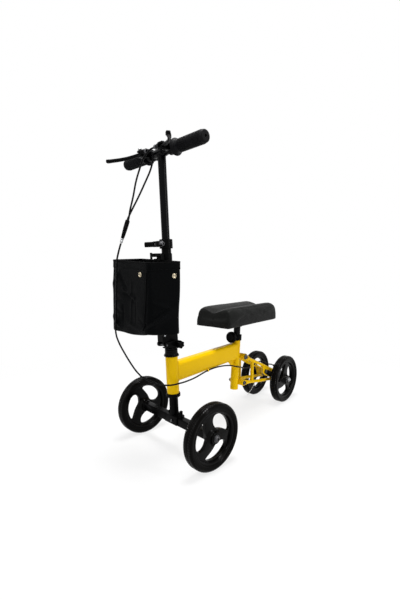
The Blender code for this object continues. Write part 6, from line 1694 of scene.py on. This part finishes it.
for label, spot, facing in (("front", (0.047, -0.1262, 0.4613), Vector((0.027, -1, 0))),
        ("side", (0.0924, -0.0508, 0.4545), Vector((1, -0.1, 0)))):
    stand = COLUMN @ shift(*spot) @ facing.to_track_quat("Z", "Y").to_matrix().to_4x4()
    slot = rod(0.0011, (-0.0045, 0.001, 0.002), (0.0045, -0.001, 0.002), stand, 16, 0.0003)
    show(f"bag_snap_{label}_cap", lathe(snap_line, "Z", stand, 48), "mast_body", "old_brass",
        [f"bag_snap_{label}"])
    show(f"bag_snap_{label}_mark", slot, "mast_body", "dark_steel")
print("bag done")

# %% [markdown]
# Under the knee pad are a steel post and a plate. The post slides in the seat tube and is stamped
# with a row of index lines; the plate is screwed into the pad from below.

# %% Seat post and plate
lines = [turned_ring([(0.0125, z, 0.0002), (0.0128, z + 0.0003, 0.0002), (0.0128, z + 0.0009, 0.0002),
    (0.0125, z + 0.0012, 0.0002)], "Z", SEAT) for z in (0.03, 0.06, 0.09, 0.12, 0.15)]
show("seat_post_tube", join(rod(0.0127, (0, 0, 0), (0, 0, 0.2165), SEAT, 64), *lines), "seat",
    "gloss_black_tube", ["seat_post"])
outline = eased([(sx * 0.046, sy * 0.115, 0.012) for sx, sy in ((-1, -1), (1, -1), (1, 1), (-1, 1))], 8,
    True)
screws = [(sx * 0.032, sy * 0.095) for sx in (-1, 1) for sy in (-1, 1)]
socket = turned_ring([(0.0129, 0.2025, 0.0004), (0.0165, 0.2025, 0.0008), (0.0175, 0.2045, 0.0008),
    (0.0175, 0.2165, 0.0004), (0.0129, 0.2165, 0.0004)], "Z", SEAT)
plate = join(flat_plate([outline, *[round_hole(s, 0.0026) for s in screws]], 0.004, 0.0007, "XY", -0.0023,
    PAD), socket)
heads = [domed_head(0.0048, 0.0022, PAD @ shift(x, y, -0.0045) @ turn(180, "X"), 0.0018) for x, y in screws]
show("pad_plate_cut", plate, "seat", "satin_black_paint", ["pad_plate"])
show("pad_plate_screws", join(*heads), "seat", "dark_steel")
print("post has", len(lines), "index lines")

# %% [markdown]
# The knee pad is foam under stretched vinyl: two ridges with a shallow valley for the shin. Its
# section is drawn once and lofted along the pad, narrower and lower at both ends.

# %% Pad form
PAD_HALF, PAD_HIGH, PAD_LONG, VALLEY, RING_COUNT = 0.0762, 0.0612, 0.33, 0.045, 72
SIDE = [(0.0, 0.0, 0), (0.8, 0.0, 0), (0.985, 0.0, 0.005), (1.01, 0.32, 0), (0.985, 0.7, 0),
    (0.92, 0.98, 0.008), (0.64, 1.0, 0.02), (0.32, 0.92, 0.012), (0.0, VALLEY / PAD_HIGH, 0)]
STATIONS = [(0.0, 0.985, 0.0, 0.9), (0.008, 1.0, 0.0, 0.955), (0.03, 1.0, 0.0, 0.985),
    (0.1, 1.0, 0.0, 0.995), (0.3, 0.99, 0.0, 1.0), (0.52, 0.975, 0.0, 1.0), (0.76, 0.99, 0.0, 1.0),
    (0.9, 1.0, 0.0, 0.995), (0.955, 0.985, 0.0, 0.95), (0.985, 0.97, 0.0, 0.87), (1.0, 0.94, 0.02, 0.74)]


def pad_ring(share):
    """One section of the pad at this share of its length."""
    where = [s[0] for s in STATIONS]
    wide, lift, high = (float(np.interp(share, where, [s[k] for s in STATIONS])) for k in (1, 2, 3))
    half = eased([(x * PAD_HALF, z * PAD_HIGH, e) for x, z, e in SIDE], 6)
    loop = half + [Vector((-p.x, p.y)) for p in half[-2:0:-1]]
    loop.append(loop[0])
    runs = np.concatenate([[0], np.cumsum([(q - p).length for p, q in zip(loop, loop[1:])])])
    spots = np.linspace(0, runs[-1], RING_COUNT, endpoint=False)
    x, z = np.interp(spots, runs, [p.x for p in loop]), np.interp(spots, runs, [p.y for p in loop])
    front, rear = max(0.0, 1 - share / 0.12), max(0.0, 1 - (1 - share) / 0.12)
    ring = []
    for a, b in zip(x, z):
        rise = b / PAD_HIGH
        ring.append(PAD @ Vector((a * wide * (1 - 0.07 * rise * front),
            (share - 0.5) * PAD_LONG + rise * (0.011 * front - 0.005 * rear),
            max(b * high, lift * PAD_HIGH))))
    return ring


shares = [0, 0.004, 0.01, 0.02, 0.04, 0.07, *[0.1 + 0.02 * n for n in range(41)], 0.93, 0.96, 0.98, 0.99,
    0.996, 1.0]
shape = bmesh.new()
rings = [[shape.verts.new(p) for p in pad_ring(s)] for s in shares]
for a, b in zip(rings, rings[1:]):
    for k in range(len(a)):
        m = (k + 1) % len(a)
        shape.faces.new((a[k], a[m], b[m], b[k]))
shape.faces.new(rings[0])
shape.faces.new(rings[-1][::-1])
foam = placed("foam", solid_mesh(shape))
print("pad drawn with", len(rings), "sections")

# %% [markdown]
# Foam pushes the cover out wherever it can. A Remesh gives the form an even skin, and Cloth with
# a little pressure and no gravity swells it for twenty frames. Every point is kept within a few
# millimetres of its start, the foot of the pad most of all, because the real one is pulled down
# to its plate. A light Smooth then takes out the ripple that the Remesh leaves.

# %% Swelling the pad
def swell(piece, pressure, cap):
    """Remesh, inflate with Cloth for twenty frames, hold every point near its start, smooth."""
    remesh = piece.modifiers.new("even", "REMESH")
    remesh.mode, remesh.voxel_size = "VOXEL", 0.005
    even = as_mesh(piece)
    piece.modifiers.remove(remesh)
    piece.data = even
    start = np.array([v.co for v in even.vertices])
    cloth = piece.modifiers.new("swell", "CLOTH")
    cloth.settings.effector_weights.gravity = 0
    cloth.settings.use_pressure = True
    cloth.settings.uniform_pressure_force = pressure
    for frame_number in range(1, 21):
        bpy.context.scene.frame_set(frame_number)
    swollen = piece.evaluated_get(bpy.context.evaluated_depsgraph_get())
    grown = np.array([v.co for v in swollen.data.vertices])
    piece.modifiers.remove(cloth)
    bpy.context.scene.frame_set(1)
    moved = grown - start
    reach = np.linalg.norm(moved, axis=1, keepdims=True)
    base = np.clip((start[:, 2:3] - PAD.translation.z) / 0.01, 0, 1)
    moved *= np.minimum(1, cap / np.maximum(reach, 1e-9)) * (0.15 + 0.85 * base)
    even.vertices.foreach_set("co", (start + moved).ravel())
    print("the pad moved at most", round(float(np.linalg.norm(moved, axis=1).max()) * 1000, 1), "mm")
    calm = piece.modifiers.new("calm", "SMOOTH")
    calm.factor, calm.iterations = 0.5, 3
    finer = piece.modifiers.new("finer", "SUBSURF")
    finer.levels = finer.render_levels = 1
    return as_mesh(piece)


skin = swell(foam, 4.0, 0.0032)
for v in skin.vertices:
    x, y, z = v.co - PAD.translation
    outside = min(1.0, max(0.0, (abs(x) - 0.05) / 0.008, (abs(y) - 0.119) / 0.008))
    v.co.z = PAD.translation.z + max(z, 0.0004) - 0.0045 * outside * max(0.0, 1 - max(z, 0.0) / 0.02)
clear_bench(foam)
pad = show("knee_pad_padded", skin, "seat", "pad_cover", ["knee_pad"], angle=60)
print("pad has", len(skin.polygons), "faces")

# %% [markdown]
# The cover is sewn from a top panel and two half skirts, so seams run along both ridges, across
# the ends and down the middle of each end. They are laid on the swollen surface: every point of
# a seam is dropped onto the nearest skin, and a thin cord of folded vinyl is swept through.

# %% Seams of the cover
from mathutils.bvhtree import BVHTree
tree_of_skin = BVHTree.FromPolygons([v.co for v in skin.vertices], [p.vertices for p in skin.polygons])


def on_skin(points):
    """Points of a line in the pad's own frame, moved onto the skin and calmed."""
    laid_on = [tree_of_skin.find_nearest(PAD @ Vector(p))[0] for p in smooth_line(points, 0.004)]
    for again in range(6):
        laid_on[1:-1] = [(a + b + c) / 3 for a, b, c in zip(laid_on, laid_on[1:], laid_on[2:])]
    return laid_on


long_line = [(0.056, -0.148, 0.06), (0.0625, -0.12, 0.063), (0.063, 0, 0.063), (0.0625, 0.12, 0.063),
    (0.057, 0.152, 0.059)]
seams = [on_skin([(side * x, y, z) for x, y, z in long_line]) for side in (1, -1)]
for end in (1, -1):
    seams.append(on_skin([(x, end * (0.15 + 0.008 * (1 - abs(x) / 0.056)), z)
        for x, z in ((0.056, 0.06), (0.04, 0.06), (0.02, 0.053), (0, 0.046), (-0.02, 0.053), (-0.04, 0.06),
        (-0.056, 0.06))]))
    seams.append(on_skin([(0, end * 0.159, 0.046), (0, end * 0.166, 0.03), (0, end * 0.17, 0.014),
        (0, end * 0.17, 0.004)]))
show("pad_seams", join(*[sweep(s, 0.001, 10) for s in seams]), "seat", "pad_cover", angle=60)
print("pad done")
